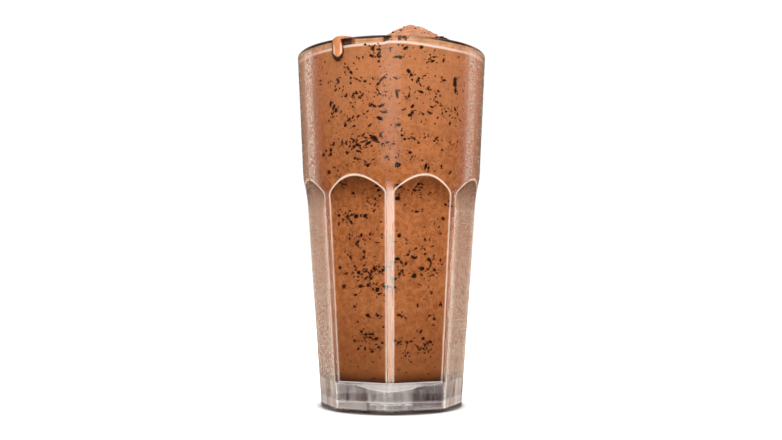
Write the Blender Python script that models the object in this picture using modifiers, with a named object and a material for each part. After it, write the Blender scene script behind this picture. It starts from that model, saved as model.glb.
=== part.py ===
"""Chocolate milkshake in a tall eight-panelled tumbler.

Metres, +Z up.  The origin is the middle of the tumbler's foot, on the
surface it stands on.  One ridge of the tumbler faces -Y, the front.

The tumbler is one thick clear solid: a turned body with a plain round band
at the top, and eight flat panels cut into its lower part.  Each panel bends
outwards at its top and runs out through the round band on a slope, which
gives the panel its arched top.  The drink is one solid that fills the tumbler to
just under the lip and is heaped in the middle, and one drip has run over the
lip and down the outside.
"""

import math

import bmesh
import bpy
from mathutils import Matrix, Vector

# ----------------------------------------------------------------- sizes
GLASS_H = 0.1588          # foot to the top of the lip
BASE_R = 0.0317           # ridge radius at the foot
WAIST_R = 0.0382          # ridge radius where the panels start to end
WAIST_Z = 0.0905
BAND_R = 0.0402           # outer radius at the foot of the round band
BAND_Z = 0.1025
FLARE = 0.22              # slope of the wall just under the band
RIM_R = 0.0430            # outer radius at the lip
LIP_T = 0.0027            # wall thickness at the lip, which is fully round

PANELS = 8
PANEL_FLAT = 0.9390       # panel apothem as a share of the ridge radius
SCOOP_Z = 0.0918          # height where a panel starts to curve outwards
SCOOP_R = 0.0090          # radius of that curve, seen from the side
SCOOP_TURN = math.radians(24)
SCOOP_RUN = 0.0115        # straight slope above the curve, out past the band

FLOOR_Z = 0.0120          # top of the solid glass base, inside
FLOOR_CORNER = 0.0055     # rounding between floor and wall, inside
CAVITY_R_LOW = 0.0272     # inner radius just above the floor
CAVITY_R_MID = 0.0326     # inner radius at the waist
CAVITY_R_BAND = 0.0373    # inner radius where the round band starts
FOOT_ROUND = 0.0012       # rounding of the foot's outer edge
PUNT_R = 0.0215           # shallow hollow under the foot
PUNT_H = 0.0012

STEPS = 64                # facets round a turned piece
GAP = 0.0003              # between pieces that touch

LEVEL_Z = 0.1557          # where the drink meets the wall
PEAK = (0.0088, 0.0005, 0.1744)   # summit of the heap
PEAK_ROUND = 0.0016       # rounding of the summit
MOUND = 0.0072            # rise of the low mound that the cone stands on

DRIP_ANGLE = math.radians(-29.6)  # from the front ridge, seen from above
DRIP_WIDTH = 0.0052
DRIP_LENGTH = 0.0096      # run down the outside, below the lip


# ------------------------------------------------------------ small helpers
def mix(a, b, t):
    return a + (b - a) * t


def smooth(t):
    t = min(max(t, 0.0), 1.0)
    return t * t * (3.0 - 2.0 * t)


def outer_radius(z):
    """Ridge radius in the lower part, wall radius in the round band."""
    if z <= WAIST_Z:
        return mix(BASE_R, WAIST_R, z / WAIST_Z)
    if z <= BAND_Z:
        # an even curve that goes on from the body's slope and ends at the flare
        rise = BAND_Z - WAIST_Z
        t = (z - WAIST_Z) / rise
        m0 = (WAIST_R - BASE_R) / WAIST_Z * rise
        m1 = FLARE * rise
        return ((2 * t ** 3 - 3 * t ** 2 + 1) * WAIST_R + (t ** 3 - 2 * t ** 2 + t) * m0
                + (3 * t ** 2 - 2 * t ** 3) * BAND_R + (t ** 3 - t ** 2) * m1)
    return mix(BAND_R, RIM_R, (z - BAND_Z) / (GLASS_H - LIP_T / 2 - BAND_Z))


def inner_radius(z):
    """Radius of the cavity above the rounding at its floor."""
    top = RIM_R - LIP_T
    if z <= WAIST_Z:
        return mix(CAVITY_R_LOW, CAVITY_R_MID, (z - FLOOR_Z) / (WAIST_Z - FLOOR_Z))
    z_band = BAND_Z + 0.003
    if z <= z_band:
        return mix(CAVITY_R_MID, CAVITY_R_BAND, smooth((z - WAIST_Z) / (z_band - WAIST_Z)))
    return mix(CAVITY_R_BAND, top, (z - z_band) / (GLASS_H - LIP_T / 2 - z_band))


def cavity_line(gap, z_top):
    """Cavity outline from the wall at z_top down to the axis, moved in by gap."""
    pts = []
    z_band = BAND_Z + 0.003
    corner_z = FLOOR_Z + FLOOR_CORNER
    heights = [mix(z_top, z_band, i / 3) for i in range(3)]
    heights += [mix(z_band, WAIST_Z, i / 6) for i in range(6)]
    heights += [mix(WAIST_Z, corner_z, i / 2) for i in range(2)]
    for z in heights:
        pts.append((inner_radius(z) - gap, z))
    r_c = inner_radius(corner_z) - FLOOR_CORNER
    for i in range(6):
        a = math.radians(90) * i / 5
        pts.append((r_c + (FLOOR_CORNER - gap) * math.cos(a),
                    corner_z - (FLOOR_CORNER - gap) * math.sin(a)))
    pts.append((0.0, FLOOR_Z + gap))
    return pts


def turned(name, profile, collection, steps=STEPS):
    """Solid of revolution from (radius, height) pairs, by a Screw modifier."""
    mesh = bpy.data.meshes.new(name + "_profile")
    mesh.from_pydata([(r, 0.0, z) for r, z in profile],
                     [(i, i + 1) for i in range(len(profile) - 1)], [])
    obj = bpy.data.objects.new(name, mesh)
    collection.objects.link(obj)
    screw = obj.modifiers.new("turn", 'SCREW')
    screw.axis = 'Z'
    screw.angle = math.radians(360)
    screw.steps = steps
    screw.render_steps = steps
    screw.use_merge_vertices = True
    screw.merge_threshold = 0.00001
    screw.use_smooth_shade = True
    return obj


def make_real(obj):
    """Give the object the mesh that its modifiers make, and drop them."""
    graph = bpy.context.evaluated_depsgraph_get()
    mesh = bpy.data.meshes.new_from_object(obj.evaluated_get(graph))
    obj.modifiers.clear()
    old = obj.data
    obj.data = mesh
    bpy.data.meshes.remove(old)
    bm = bmesh.new()
    bm.from_mesh(mesh)
    bmesh.ops.remove_doubles(bm, verts=bm.verts, dist=0.00001)
    bm.to_mesh(mesh)
    bm.free()
    return obj


def material(name, colour, roughness, metallic=0.0, transmission=0.0):
    mat = bpy.data.materials.new(name)
    mat.use_nodes = True
    shader = mat.node_tree.nodes["Principled BSDF"]
    shader.inputs["Base Color"].default_value = (*colour, 1.0)
    shader.inputs["Roughness"].default_value = roughness
    shader.inputs["Metallic"].default_value = metallic
    shader.inputs["Transmission Weight"].default_value = transmission
    mat.diffuse_color = (*colour, 1.0)
    return mat


# ------------------------------------------------------------------ pieces
def build_glass(parts, cutters):
    """Thick clear tumbler: turned body, eight scooped panels cut into it."""
    lip_r = LIP_T / 2
    lip_z = GLASS_H - lip_r
    # the line starts on the axis at the cavity floor, climbs the inner wall,
    # goes over the lip and runs down the outside to the axis under the foot
    profile = list(reversed(cavity_line(0.0, lip_z)))
    for i in range(1, 8):
        a = math.pi - math.pi * i / 8
        profile.append((RIM_R - lip_r + lip_r * math.cos(a), lip_z + lip_r * math.sin(a)))
    profile += [(outer_radius(mix(lip_z, BAND_Z, i / 3)), mix(lip_z, BAND_Z, i / 3)) for i in range(3)]
    profile += [(outer_radius(mix(BAND_Z, WAIST_Z, i / 6)), mix(BAND_Z, WAIST_Z, i / 6)) for i in range(7)]
    for i in range(4):
        a = math.radians(90) * i / 3
        profile.append((outer_radius(FOOT_ROUND) - FOOT_ROUND + FOOT_ROUND * math.cos(a),
                        FOOT_ROUND - FOOT_ROUND * math.sin(a)))
    profile.append((PUNT_R, 0.0))
    profile.append((PUNT_R - 2.5 * PUNT_H, PUNT_H))
    profile.append((0.0, PUNT_H))
    glass = turned("glass", profile, parts)

    # side view of a panel cutter: up the flat, out along the scoop, and back
    # down outside the tumbler
    tilt = math.atan2(PANEL_FLAT * (WAIST_R - BASE_R), WAIST_Z)
    along = Vector((math.sin(tilt), math.cos(tilt)))
    out = Vector((math.cos(tilt), -math.sin(tilt)))
    start = Vector((PANEL_FLAT * outer_radius(SCOOP_Z), SCOOP_Z))
    low = start - along * (SCOOP_Z + 0.006)
    outline = [low]
    for i in range(6):
        a = SCOOP_TURN * i / 5
        outline.append(start + along * SCOOP_R * math.sin(a) + out * SCOOP_R * (1 - math.cos(a)))
    slope = along * math.cos(SCOOP_TURN) + out * math.sin(SCOOP_TURN)
    outline.append(outline[-1] + slope * SCOOP_RUN)
    outline.append(Vector((0.060, outline[-1].y + 0.001)))
    outline.append(Vector((0.060, low.y)))

    bm = bmesh.new()
    half = 0.021
    face = bm.faces.new([bm.verts.new((p.x, -half, p.y)) for p in outline])
    grown = bmesh.ops.extrude_face_region(bm, geom=[face])
    bmesh.ops.translate(bm, vec=(0, 2 * half, 0),
                        verts=[v for v in grown["geom"] if isinstance(v, bmesh.types.BMVert)])
    bmesh.ops.recalc_face_normals(bm, faces=bm.faces)
    cut_mesh = bpy.data.meshes.new("panel_cutter")
    bm.to_mesh(cut_mesh)
    bm.free()
    for i in range(PANELS):
        cutter = bpy.data.objects.new("panel_cutter_%d" % (i + 1), cut_mesh)
        cutter.rotation_euler = (0, 0, math.radians(-90 + 22.5 + 45 * i))
        cutter.hide_render = True
        cutter.display_type = 'WIRE'
        cutters.objects.link(cutter)
        cut = glass.modifiers.new("panel_%d" % (i + 1), 'BOOLEAN')
        cut.operation = 'DIFFERENCE'
        cut.object = cutter
    glass.data.materials.append(material("clear_glass", (0.93, 0.94, 0.95), 0.02, 0.0, 1.0))
    return glass


def heap_height(x, y, share):
    """Height of the drink's top: a low mound with a soft cone off to one side.
    share is 0 at the summit and 1 at the wall."""
    mound = MOUND * (1 - share) ** 0.9
    far = math.hypot(x - PEAK[0], y - PEAK[1])
    slope = 0.56 - 0.03 * (x - PEAK[0]) / max(far, 1e-6)
    cone = (PEAK[2] - LEVEL_Z) - slope * (math.hypot(far, PEAK_ROUND) - PEAK_ROUND)
    k = 0.0016
    h = min(max(0.5 + 0.5 * (cone - mound) / k, 0), 1)
    high = mix(mound, cone, h) + k * h * (1 - h) * smooth(far / 0.01)
    lumps = 0.0
    for size, turn, push in ((0.019, 0.4, 0.00018), (0.0125, 2.1, 0.00012), (0.0085, 3.7, 0.0001)):
        u = (x * math.cos(turn) + y * math.sin(turn)) / size
        v = (y * math.cos(turn) - x * math.sin(turn)) / size
        lumps += push * math.sin(2 * math.pi * u + turn) * math.cos(2 * math.pi * v)
    fade = smooth((1 - share) / 0.25) * smooth(share / 0.2)
    return LEVEL_Z + high * smooth((1 - share) / 0.22) ** 0.7 + lumps * fade


def build_shake(parts):
    """The drink: fills the cavity to the level, heaped right of the middle."""
    wall = inner_radius(LEVEL_Z) - GAP
    rings = 11
    profile = [(wall * i / rings, LEVEL_Z) for i in range(rings)]
    profile += cavity_line(GAP, LEVEL_Z)
    shake = make_real(turned("shake", profile, parts))
    for v in shake.data.vertices:
        r = math.hypot(v.co.x, v.co.y)
        if v.co.z > LEVEL_Z - 0.00005:
            share = min(r / wall, 1.0)
            lean = (1 - share) ** 1.15
            v.co.x += PEAK[0] * lean
            v.co.y += PEAK[1] * lean
            v.co.z = heap_height(v.co.x, v.co.y, share)
    shake.data.update()
    shake.data.shade_smooth()
    shake.data.materials.append(material("chocolate_shake", (0.42, 0.21, 0.115), 0.32))
    return shake


def build_drip(parts):
    """One drip from the drink's edge over the lip and down the outside."""
    lip_r = LIP_T / 2
    lip_c = RIM_R - lip_r
    lip_z = GLASS_H - lip_r
    # route in the upright plane through the axis: (radius, height, half width,
    # half thickness)
    thick = 0.0011
    route = []
    clear = lip_r + GAP + thick
    for i in range(7):
        a = math.radians(mix(150, 0, i / 6))
        route.append((lip_c + clear * math.cos(a), lip_z + clear * math.sin(a),
                      mix(1.75, 1.05, smooth(i / 6)), 1.0))
    runs = 7
    for i in range(1, runs + 1):
        t = i / runs
        z = lip_z - (DRIP_LENGTH - lip_r) * t
        swell = 0.86 + 0.12 * math.sin(math.pi * smooth(t))
        end = math.sqrt(max(0.0, 1 - max(0.0, (t - 0.72) / 0.285) ** 2))
        route.append((outer_radius(z) + GAP + thick, z, swell * max(end, 0.12), max(end, 0.25)))
    across = 12
    turn = Matrix.Rotation(DRIP_ANGLE, 4, 'Z')
    bm = bmesh.new()
    rings = []
    for k, (r, z, wide, deep) in enumerate(route):
        a = route[max(k - 1, 0)]
        b = route[min(k + 1, len(route) - 1)]
        run = Vector((b[0] - a[0], b[1] - a[1])).normalized()
        outward = Vector((-run.y, run.x))
        ring = []
        for j in range(across):
            w = 2 * math.pi * j / across
            side = math.cos(w) * DRIP_WIDTH / 2 * wide
            lift = math.sin(w) * thick * deep - thick * (1 - deep)
            # the middle plane of the strand, -Y forward
            p = Vector((side, -(r + outward.x * lift), z + outward.y * lift))
            # keeps to the round wall as it spreads sideways
            back = r - math.sqrt(max(r * r - side * side, 0.0))
            p.y += back
            ring.append(bm.verts.new(turn @ p))
        rings.append(ring)
    for a, b in zip(rings, rings[1:]):
        for j in range(across):
            bm.faces.new((a[j], a[(j + 1) % across], b[(j + 1) % across], b[j]))
    bm.faces.new(rings[0])
    bm.faces.new(rings[-1])
    bmesh.ops.recalc_face_normals(bm, faces=bm.faces)
    mesh = bpy.data.meshes.new("shake_drip")
    bm.to_mesh(mesh)
    bm.free()
    mesh.shade_smooth()
    drip = bpy.data.objects.new("shake_drip", mesh)
    parts.objects.link(drip)
    drip.data.materials.append(material("chocolate_drip", (0.40, 0.20, 0.11), 0.25))
    return drip


def main():
    for obj in list(bpy.data.objects):
        bpy.data.objects.remove(obj, do_unlink=True)
    parts = bpy.data.collections.new("chocolate_milkshake")
    cutters = bpy.data.collections.new("cutters")
    bpy.context.scene.collection.children.link(parts)
    bpy.context.scene.collection.children.link(cutters)
    build_glass(parts, cutters)
    build_shake(parts)
    build_drip(parts)


main()
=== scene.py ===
"""Chocolate milkshake in a tall eight-panelled tumbler: looks, camera and light."""

import math
import random

import bpy
import numpy as np
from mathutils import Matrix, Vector, noise


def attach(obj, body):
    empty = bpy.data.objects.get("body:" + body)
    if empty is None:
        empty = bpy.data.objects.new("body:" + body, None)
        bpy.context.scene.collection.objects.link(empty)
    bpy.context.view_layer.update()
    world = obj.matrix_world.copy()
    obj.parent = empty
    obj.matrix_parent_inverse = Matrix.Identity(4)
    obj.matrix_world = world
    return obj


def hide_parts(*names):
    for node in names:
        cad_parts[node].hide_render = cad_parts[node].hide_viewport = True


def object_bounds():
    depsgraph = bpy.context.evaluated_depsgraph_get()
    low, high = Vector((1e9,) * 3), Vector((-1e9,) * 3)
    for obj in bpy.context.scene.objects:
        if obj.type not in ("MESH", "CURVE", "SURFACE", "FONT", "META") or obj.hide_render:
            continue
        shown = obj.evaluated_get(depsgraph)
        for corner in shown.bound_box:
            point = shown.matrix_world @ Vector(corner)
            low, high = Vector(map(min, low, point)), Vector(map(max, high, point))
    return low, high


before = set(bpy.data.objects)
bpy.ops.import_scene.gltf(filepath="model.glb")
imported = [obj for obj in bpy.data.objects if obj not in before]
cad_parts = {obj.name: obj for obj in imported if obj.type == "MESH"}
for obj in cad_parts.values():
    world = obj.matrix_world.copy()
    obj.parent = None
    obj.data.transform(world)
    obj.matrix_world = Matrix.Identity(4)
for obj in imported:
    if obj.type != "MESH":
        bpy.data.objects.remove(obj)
cad_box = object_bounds()
cad_box = [[float(v) for v in corner] for corner in cad_box]

# ------------------------------------------------------------------ sizes, in metres (as in the CAD)
GLASS_H = 0.1588
BASE_R, WAIST_R, WAIST_Z = 0.0317, 0.0382, 0.0905
BAND_R, BAND_Z, FLARE = 0.0402, 0.1025, 0.22
RIM_R, LIP_T = 0.0430, 0.0027
LIP_R = LIP_T / 2
LIP_Z = GLASS_H - LIP_R
PANEL_FLAT = 0.9390
SCOOP_Z, SCOOP_R, SCOOP_TURN = 0.0918, 0.0090, math.radians(24)
FLOOR_Z, FLOOR_CORNER = 0.0120, 0.0055
CAVITY_R_LOW, CAVITY_R_MID, CAVITY_R_BAND = 0.0272, 0.0326, 0.0373
FOOT_ROUND, PUNT_R, PUNT_H = 0.0012, 0.0215, 0.0012
EDGE_SOFT = 0.00018          # rounding where panels meet ridges and band
LEVEL_Z = 0.1557
PEAK = (0.0088, 0.0005, 0.1744)
INTO_WALL = 0.00012          # the drink reaches this far into the glass


def mix(a, b, t):
    return a + (b - a) * t


def smooth(t):
    t = np.clip(t, 0.0, 1.0)
    return t * t * (3.0 - 2.0 * t)


def outer_radius(z):
    z = np.asarray(z, float)
    low = mix(BASE_R, WAIST_R, z / WAIST_Z)
    top = mix(BAND_R, RIM_R, (z - BAND_Z) / (LIP_Z - BAND_Z))
    rise = BAND_Z - WAIST_Z                      # an even curve from the body's slope to the flare
    t = np.clip((z - WAIST_Z) / rise, 0, 1)
    m0, m1 = (WAIST_R - BASE_R) / WAIST_Z * rise, FLARE * rise
    mid = ((2 * t ** 3 - 3 * t ** 2 + 1) * WAIST_R + (t ** 3 - 2 * t ** 2 + t) * m0
           + (3 * t ** 2 - 2 * t ** 3) * BAND_R + (t ** 3 - t ** 2) * m1)
    return np.where(z <= WAIST_Z, low, np.where(z <= BAND_Z, mid, top))


def inner_radius(z):
    z = np.asarray(z, float)
    z_band = BAND_Z + 0.003
    low = mix(CAVITY_R_LOW, CAVITY_R_MID, (z - FLOOR_Z) / (WAIST_Z - FLOOR_Z))
    mid = mix(CAVITY_R_MID, CAVITY_R_BAND, smooth((z - WAIST_Z) / (z_band - WAIST_Z)))
    top = mix(CAVITY_R_BAND, RIM_R - LIP_T, (z - z_band) / (LIP_Z - z_band))
    return np.where(z <= WAIST_Z, low, np.where(z <= z_band, mid, top))


def panel_line():
    """Distance of a panel from the axis against height: flat, curve, slope."""
    tilt = math.atan2(PANEL_FLAT * (WAIST_R - BASE_R), WAIST_Z)
    n0 = PANEL_FLAT * float(outer_radius(SCOOP_Z))
    pts = [(n0 - (SCOOP_Z + 0.01) * math.tan(tilt), -0.01)]
    for i in range(17):
        a = SCOOP_TURN * i / 16
        pts.append((n0 + SCOOP_R * (math.sin(a) * math.sin(tilt) + (1 - math.cos(a)) * math.cos(tilt)),
                    SCOOP_Z + SCOOP_R * (math.sin(a) * math.cos(tilt) - (1 - math.cos(a)) * math.sin(tilt))))
    end = SCOOP_TURN + tilt
    pts.append((pts[-1][0] + 0.1 * math.sin(end), pts[-1][1] + 0.1 * math.cos(end)))
    return np.array(pts)


PANEL = panel_line()


def panel_gap(theta, z):
    """How far a panel lies inside the round body; below zero on the ridges."""
    off = np.mod(theta, math.pi / 4) - math.pi / 8
    return outer_radius(z) - np.interp(z, PANEL[:, 1], PANEL[:, 0]) / np.cos(off)


def glass_radius(theta, z, soft=EDGE_SOFT):
    """Outer radius of the tumbler; theta is 0 at the front (-Y), growing towards +X."""
    off = np.mod(theta, math.pi / 4) - math.pi / 8
    a = outer_radius(z)
    b = np.interp(z, PANEL[:, 1], PANEL[:, 0]) / np.cos(off)
    h = np.clip(0.5 + 0.5 * (b - a) / soft, 0, 1)
    return mix(b, a, h) - soft * h * (1 - h)


def polar(theta, r, z):
    """Point at angle theta from the front, radius r, height z."""
    theta, r, z = np.broadcast_arrays(theta, r, z)
    return np.stack([r * np.sin(theta), -r * np.cos(theta), z], axis=-1)


# ------------------------------------------------------------------ mesh helpers
def new_mesh(name, verts, faces, smooth_shade=True):
    mesh = bpy.data.meshes.new(name)
    mesh.from_pydata([tuple(v) for v in np.asarray(verts, float)], [], [tuple(int(i) for i in f) for f in faces])
    mesh.update()
    if smooth_shade:
        mesh.shade_smooth()
    obj = bpy.data.objects.new(name, mesh)
    bpy.context.scene.collection.objects.link(obj)
    return obj


def ring_mesh(name, rows, first, last):
    """Closed turned surface: rows of points, each the same count, and a point
    at each end.  Rows run outwards, down the outside and back to the axis."""
    n = rows[0].shape[0]
    verts = [np.array([first])] + rows + [np.array([last])]
    verts = np.concatenate(verts)
    faces = []
    for j in range(n):
        faces.append((0, 1 + j, 1 + (j + 1) % n))
    j = np.arange(n)
    k = (j + 1) % n
    for i in range(len(rows) - 1):
        a, b = 1 + i * n, 1 + (i + 1) * n
        faces += list(zip(a + j, b + j, b + k, a + k))
    a = 1 + (len(rows) - 1) * n
    end = len(verts) - 1
    for j in range(n):
        faces.append((a + j, end, a + (j + 1) % n))
    return new_mesh(name, verts, faces)


def steps(a, b, n, ends=(True, False)):
    t = np.linspace(0, 1, n + 1)
    if not ends[0]:
        t = t[1:]
    if not ends[1]:
        t = t[:-1]
    return mix(a, b, t)


# ------------------------------------------------------------------ node helpers
class Nodes:
    """Small helper round a material's or world's node tree."""

    def __init__(self, tree):
        self.tree = tree

    def add(self, kind, **inputs):
        node = self.tree.nodes.new(kind)
        for key, value in inputs.items():
            if key.startswith("_"):
                setattr(node, key[1:], value)
                continue
            name = key.replace("__", " ")
            self.put(node.inputs[name], value)
        return node

    def put(self, socket, value):
        if isinstance(value, bpy.types.NodeSocket):
            self.tree.links.new(value, socket)
        else:
            socket.default_value = value

    def math(self, op, a, b=0.0, c=None, clamp=False):
        node = self.tree.nodes.new("ShaderNodeMath")
        node.operation = op
        node.use_clamp = clamp
        self.put(node.inputs[0], a)
        self.put(node.inputs[1], b)
        if c is not None:
            self.put(node.inputs[2], c)
        return node.outputs[0]

    def ramp(self, fac, stops, mode="LINEAR"):
        node = self.tree.nodes.new("ShaderNodeValToRGB")
        node.color_ramp.interpolation = mode
        el = node.color_ramp.elements
        while len(el) < len(stops):
            el.new(0.5)
        for e, (pos, col) in zip(el, stops):
            e.position = pos
            e.color = (*col, 1.0) if len(col) == 3 else col
        self.put(node.inputs[0], fac)
        return node.outputs[0]

    def blend(self, fac, a, b, how="MIX"):
        node = self.tree.nodes.new("ShaderNodeMix")
        node.data_type = "RGBA"
        node.blend_type = how
        self.put(node.inputs[0], fac)
        self.put(node.inputs[6], a if not isinstance(a, tuple) else (*a, 1.0)[:4])
        self.put(node.inputs[7], b if not isinstance(b, tuple) else (*b, 1.0)[:4])
        return node.outputs[2]

    def noise(self, scale, detail=3.0, rough=0.5, vector=None, distortion=0.0):
        node = self.tree.nodes.new("ShaderNodeTexNoise")
        node.inputs["Scale"].default_value = scale
        node.inputs["Detail"].default_value = detail
        node.inputs["Roughness"].default_value = rough
        node.inputs["Distortion"].default_value = distortion
        if vector is not None:
            self.tree.links.new(vector, node.inputs["Vector"])
        return node.outputs["Fac"]

    def bump(self, height, strength, distance, normal=None):
        node = self.tree.nodes.new("ShaderNodeBump")
        node.inputs["Strength"].default_value = strength
        node.inputs["Distance"].default_value = distance
        self.tree.links.new(height, node.inputs["Height"])
        if normal is not None:
            self.tree.links.new(normal, node.inputs["Normal"])
        return node.outputs["Normal"]


def new_material(name):
    mat = bpy.data.materials.new(name)
    mat.use_nodes = True
    n = Nodes(mat.node_tree)
    shader = mat.node_tree.nodes["Principled BSDF"]
    return mat, n, shader


# ------------------------------------------------------------------ glass
def column_angles():
    """Angles round the tumbler, closer together at the edges of each ridge."""
    near = [0.0, 0.7, 1.3, 1.75, 2.1, 2.4, 2.7, 3.1, 3.7, 4.5]
    rest = list(np.linspace(5.4, 22.5, 22))
    half = np.array(near + rest)
    sector = np.concatenate([-half[:0:-1], half[:-1]])
    return np.radians(np.concatenate([sector + 45 * i for i in range(8)]))


def build_glass():
    theta = column_angles()

    def row(r, z):
        return polar(theta, np.broadcast_to(r, theta.shape), z)

    rows, outer = [], []

    def outside(z):
        rows.append(row(glass_radius(theta, z), z))
        outer.append((len(rows) - 1, z))

    corner_z = FLOOR_Z + FLOOR_CORNER
    r_corner = float(inner_radius(corner_z)) - FLOOR_CORNER
    for t in (0.12, 0.3, 0.5, 0.7, 0.88):
        rows.append(row(r_corner * t, FLOOR_Z))
    for a in steps(-90, 0, 12, (True, True)):
        a = math.radians(a)
        rows.append(row(r_corner + FLOOR_CORNER * math.cos(a), corner_z + FLOOR_CORNER * math.sin(a)))
    for z in steps(corner_z, WAIST_Z, 10, (False, False)):
        rows.append(row(float(inner_radius(z)), z))
    for z in steps(WAIST_Z, BAND_Z + 0.003, 16, (True, True)):
        rows.append(row(float(inner_radius(z)), z))
    for z in steps(BAND_Z + 0.003, LIP_Z, 8, (False, False)):
        rows.append(row(float(inner_radius(z)), z))
    for a in steps(180, 0, 16, (True, True)):
        a = math.radians(a)
        rows.append(row(RIM_R - LIP_R + LIP_R * math.cos(a), LIP_Z + LIP_R * math.sin(a)))
    for z in steps(LIP_Z, 0.1050, 12, (False, True)):
        outside(z)
    for z in steps(0.1050, 0.0900, 46, (False, True)):
        outside(z)
    for z in steps(0.0900, FOOT_ROUND, 12, (False, True)):
        outside(z)
    foot = glass_radius(theta, FOOT_ROUND)
    for a in steps(0, 90, 7, (False, True)):
        a = math.radians(a)
        rows.append(row(foot - FOOT_ROUND + FOOT_ROUND * math.cos(a), FOOT_ROUND - FOOT_ROUND * math.sin(a)))
    rows.append(row(mix(foot - FOOT_ROUND, PUNT_R, 0.5), 0.0))
    for t in steps(0, 1, 6, (True, True)):
        rows.append(row(PUNT_R - 2.5 * PUNT_H * t, PUNT_H * float(smooth(t))))
    for t in (0.7, 0.4, 0.15):
        rows.append(row((PUNT_R - 2.5 * PUNT_H) * t, PUNT_H))
    obj = ring_mesh("tumbler", rows, (0, 0, FLOOR_Z), (0, 0, PUNT_H))
    # how far the panel lies inside the round body (mm), and the angle from the front
    n = len(theta)
    gap = np.full(2 + n * len(rows), 9.0)
    for i, z in outer:
        gap[1 + i * n:1 + (i + 1) * n] = panel_gap(theta, z) * 1000
    away = np.zeros(2 + n * len(rows))
    away[1:-1] = np.tile(np.abs(np.degrees((theta + math.pi) % (2 * math.pi) - math.pi)), len(rows))
    for name, values in (("gap_mm", gap), ("away_deg", away)):
        layer = obj.data.attributes.new(name, "FLOAT", "POINT")
        layer.data.foreach_set("value", values.astype(np.float32))
    return obj


glass = build_glass()
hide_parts("glass")
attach(glass, "root")


# ------------------------------------------------------------------ drink
def fbm(x, y, z, scale, octaves=3):
    v, amp, tot = 0.0, 1.0, 0.0
    p = Vector((x, y, z)) / scale
    for _ in range(octaves):
        v += amp * noise.noise(p)
        tot += amp
        amp *= 0.5
        p = p * 2.03 + Vector((7.1, 3.3, 5.7))
    return v / tot


def heap_height(x, y, share):
    """Height of the drink's top: a low mound with a soft cone off to one side.
    share is 0 at the summit and 1 at the wall."""
    mound = 0.0072 * (1 - share) ** 0.9
    far = math.hypot(x - PEAK[0], y - PEAK[1])
    dx = (x - PEAK[0]) / max(far, 1e-6)
    slope = 0.555 - 0.035 * dx
    cone = (PEAK[2] - LEVEL_Z) - slope * (math.hypot(far, 0.0016) - 0.0016)
    k = 0.0016
    h = min(max(0.5 + 0.5 * (cone - mound) / k, 0), 1)
    high = mix(mound, cone, h) + k * h * (1 - h) * float(smooth(far / 0.01))
    lumps = 0.0
    for size, turn, push in ((0.019, 0.4, 0.00018), (0.0125, 2.1, 0.00012), (0.0085, 3.7, 0.0001)):
        u = (x * math.cos(turn) + y * math.sin(turn)) / size
        v = (y * math.cos(turn) - x * math.sin(turn)) / size
        lumps += push * math.sin(2 * math.pi * u + turn) * math.cos(2 * math.pi * v)
    fade = float(smooth((1 - share) / 0.25) * smooth(share / 0.2))
    return LEVEL_Z + high * float(smooth((1 - share) / 0.22) ** 0.7) + lumps * fade


CREASES = [(math.radians(a), d / 1000, w / 1000) for a, d, w in (
    (-58, 0.8, 0.8), (-24, 0.55, 0.5), (12, 0.4, 0.5), (36, 0.7, 0.6), (75, 0.4, 0.8), (128, 0.6, 1.0),
    (175, 0.5, 0.9), (-118, 0.6, 1.0), (-150, 0.4, 0.8))]


def top_point(theta, share):
    """Point of the drink's top, with its fine unevenness."""
    wall = float(inner_radius(LEVEL_Z)) + INTO_WALL
    lean = (1 - share) ** 1.15
    x = wall * share * math.sin(theta) + PEAK[0] * lean
    y = -wall * share * math.cos(theta) + PEAK[1] * lean
    z = heap_height(x, y, share)
    inside = float(smooth((1 - share) / 0.10))
    z += 0.00032 * fbm(x, y, 0.3, 0.0050, 4) * inside
    z += 0.00022 * fbm(x, y, 1.7, 0.0018, 3) * inside
    # creases that run down from the summit
    dx, dy = x - PEAK[0], y - PEAK[1]
    for heading, depth, wide in CREASES:
        run = dx * math.sin(heading) - dy * math.cos(heading)
        off = dx * math.cos(heading) + dy * math.sin(heading) + 0.0008 * math.sin(run * 600 + heading * 5)
        if run > 0:
            z -= depth * math.exp(-(off / wide) ** 2) * float(smooth(run / 0.002) * smooth((0.020 - run) / 0.008))
    # spooned folds that run down from the summit
    fold = math.sin(5 * theta + 9 * share + 3.0 * fbm(x, y, 4.0, 0.02, 2))
    z += 0.00016 * fold * float(smooth(share / 0.3)) * float(smooth((1 - share) / 0.35))
    # the edge at the wall wanders a little
    edge = float(smooth((share - 0.86) / 0.14))
    z += 0.00032 * fbm(math.sin(theta) * 0.04, math.cos(theta) * 0.04, 9.0, 0.012, 3) * edge
    return (x, y, z)


def lip_point(s):
    """Cross-section of lip and wall by arc length s: 0 is the top of the lip,
    negative inside, positive outside.  Gives radius, height and the normal."""
    quarter = LIP_R * math.pi / 2
    if s < -quarter:
        z = LIP_Z + (s + quarter)
        return float(inner_radius(z)), z, (-1.0, 0.07)
    if s > quarter:
        z = LIP_Z - (s - quarter)
        return float(outer_radius(z)), z, (1.0, -0.05)
    a = math.pi / 2 - s / LIP_R
    return RIM_R - LIP_R + LIP_R * math.cos(a), LIP_Z + LIP_R * math.sin(a), (math.cos(a), math.sin(a))


def level_at(theta):
    """Height of the line that the drink's edge makes on the wall."""
    p = Vector((math.sin(theta) * 0.04, math.cos(theta) * 0.04, 0.009))
    deg = (math.degrees(theta) + 180) % 360 - 180
    kink = 0.00062 * float(smooth((deg + 3.6) / 3.4)) * float(smooth((30 - deg) / 26))
    sag = 0.00055 * float(smooth((abs(deg) - 16) / 26)) * float(smooth((110 - abs(deg)) / 30))
    return LEVEL_Z - 0.0003 + 0.00022 * noise.noise(p / 0.016) + 0.00012 * noise.noise(p / 0.004) + kink - sag


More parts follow.
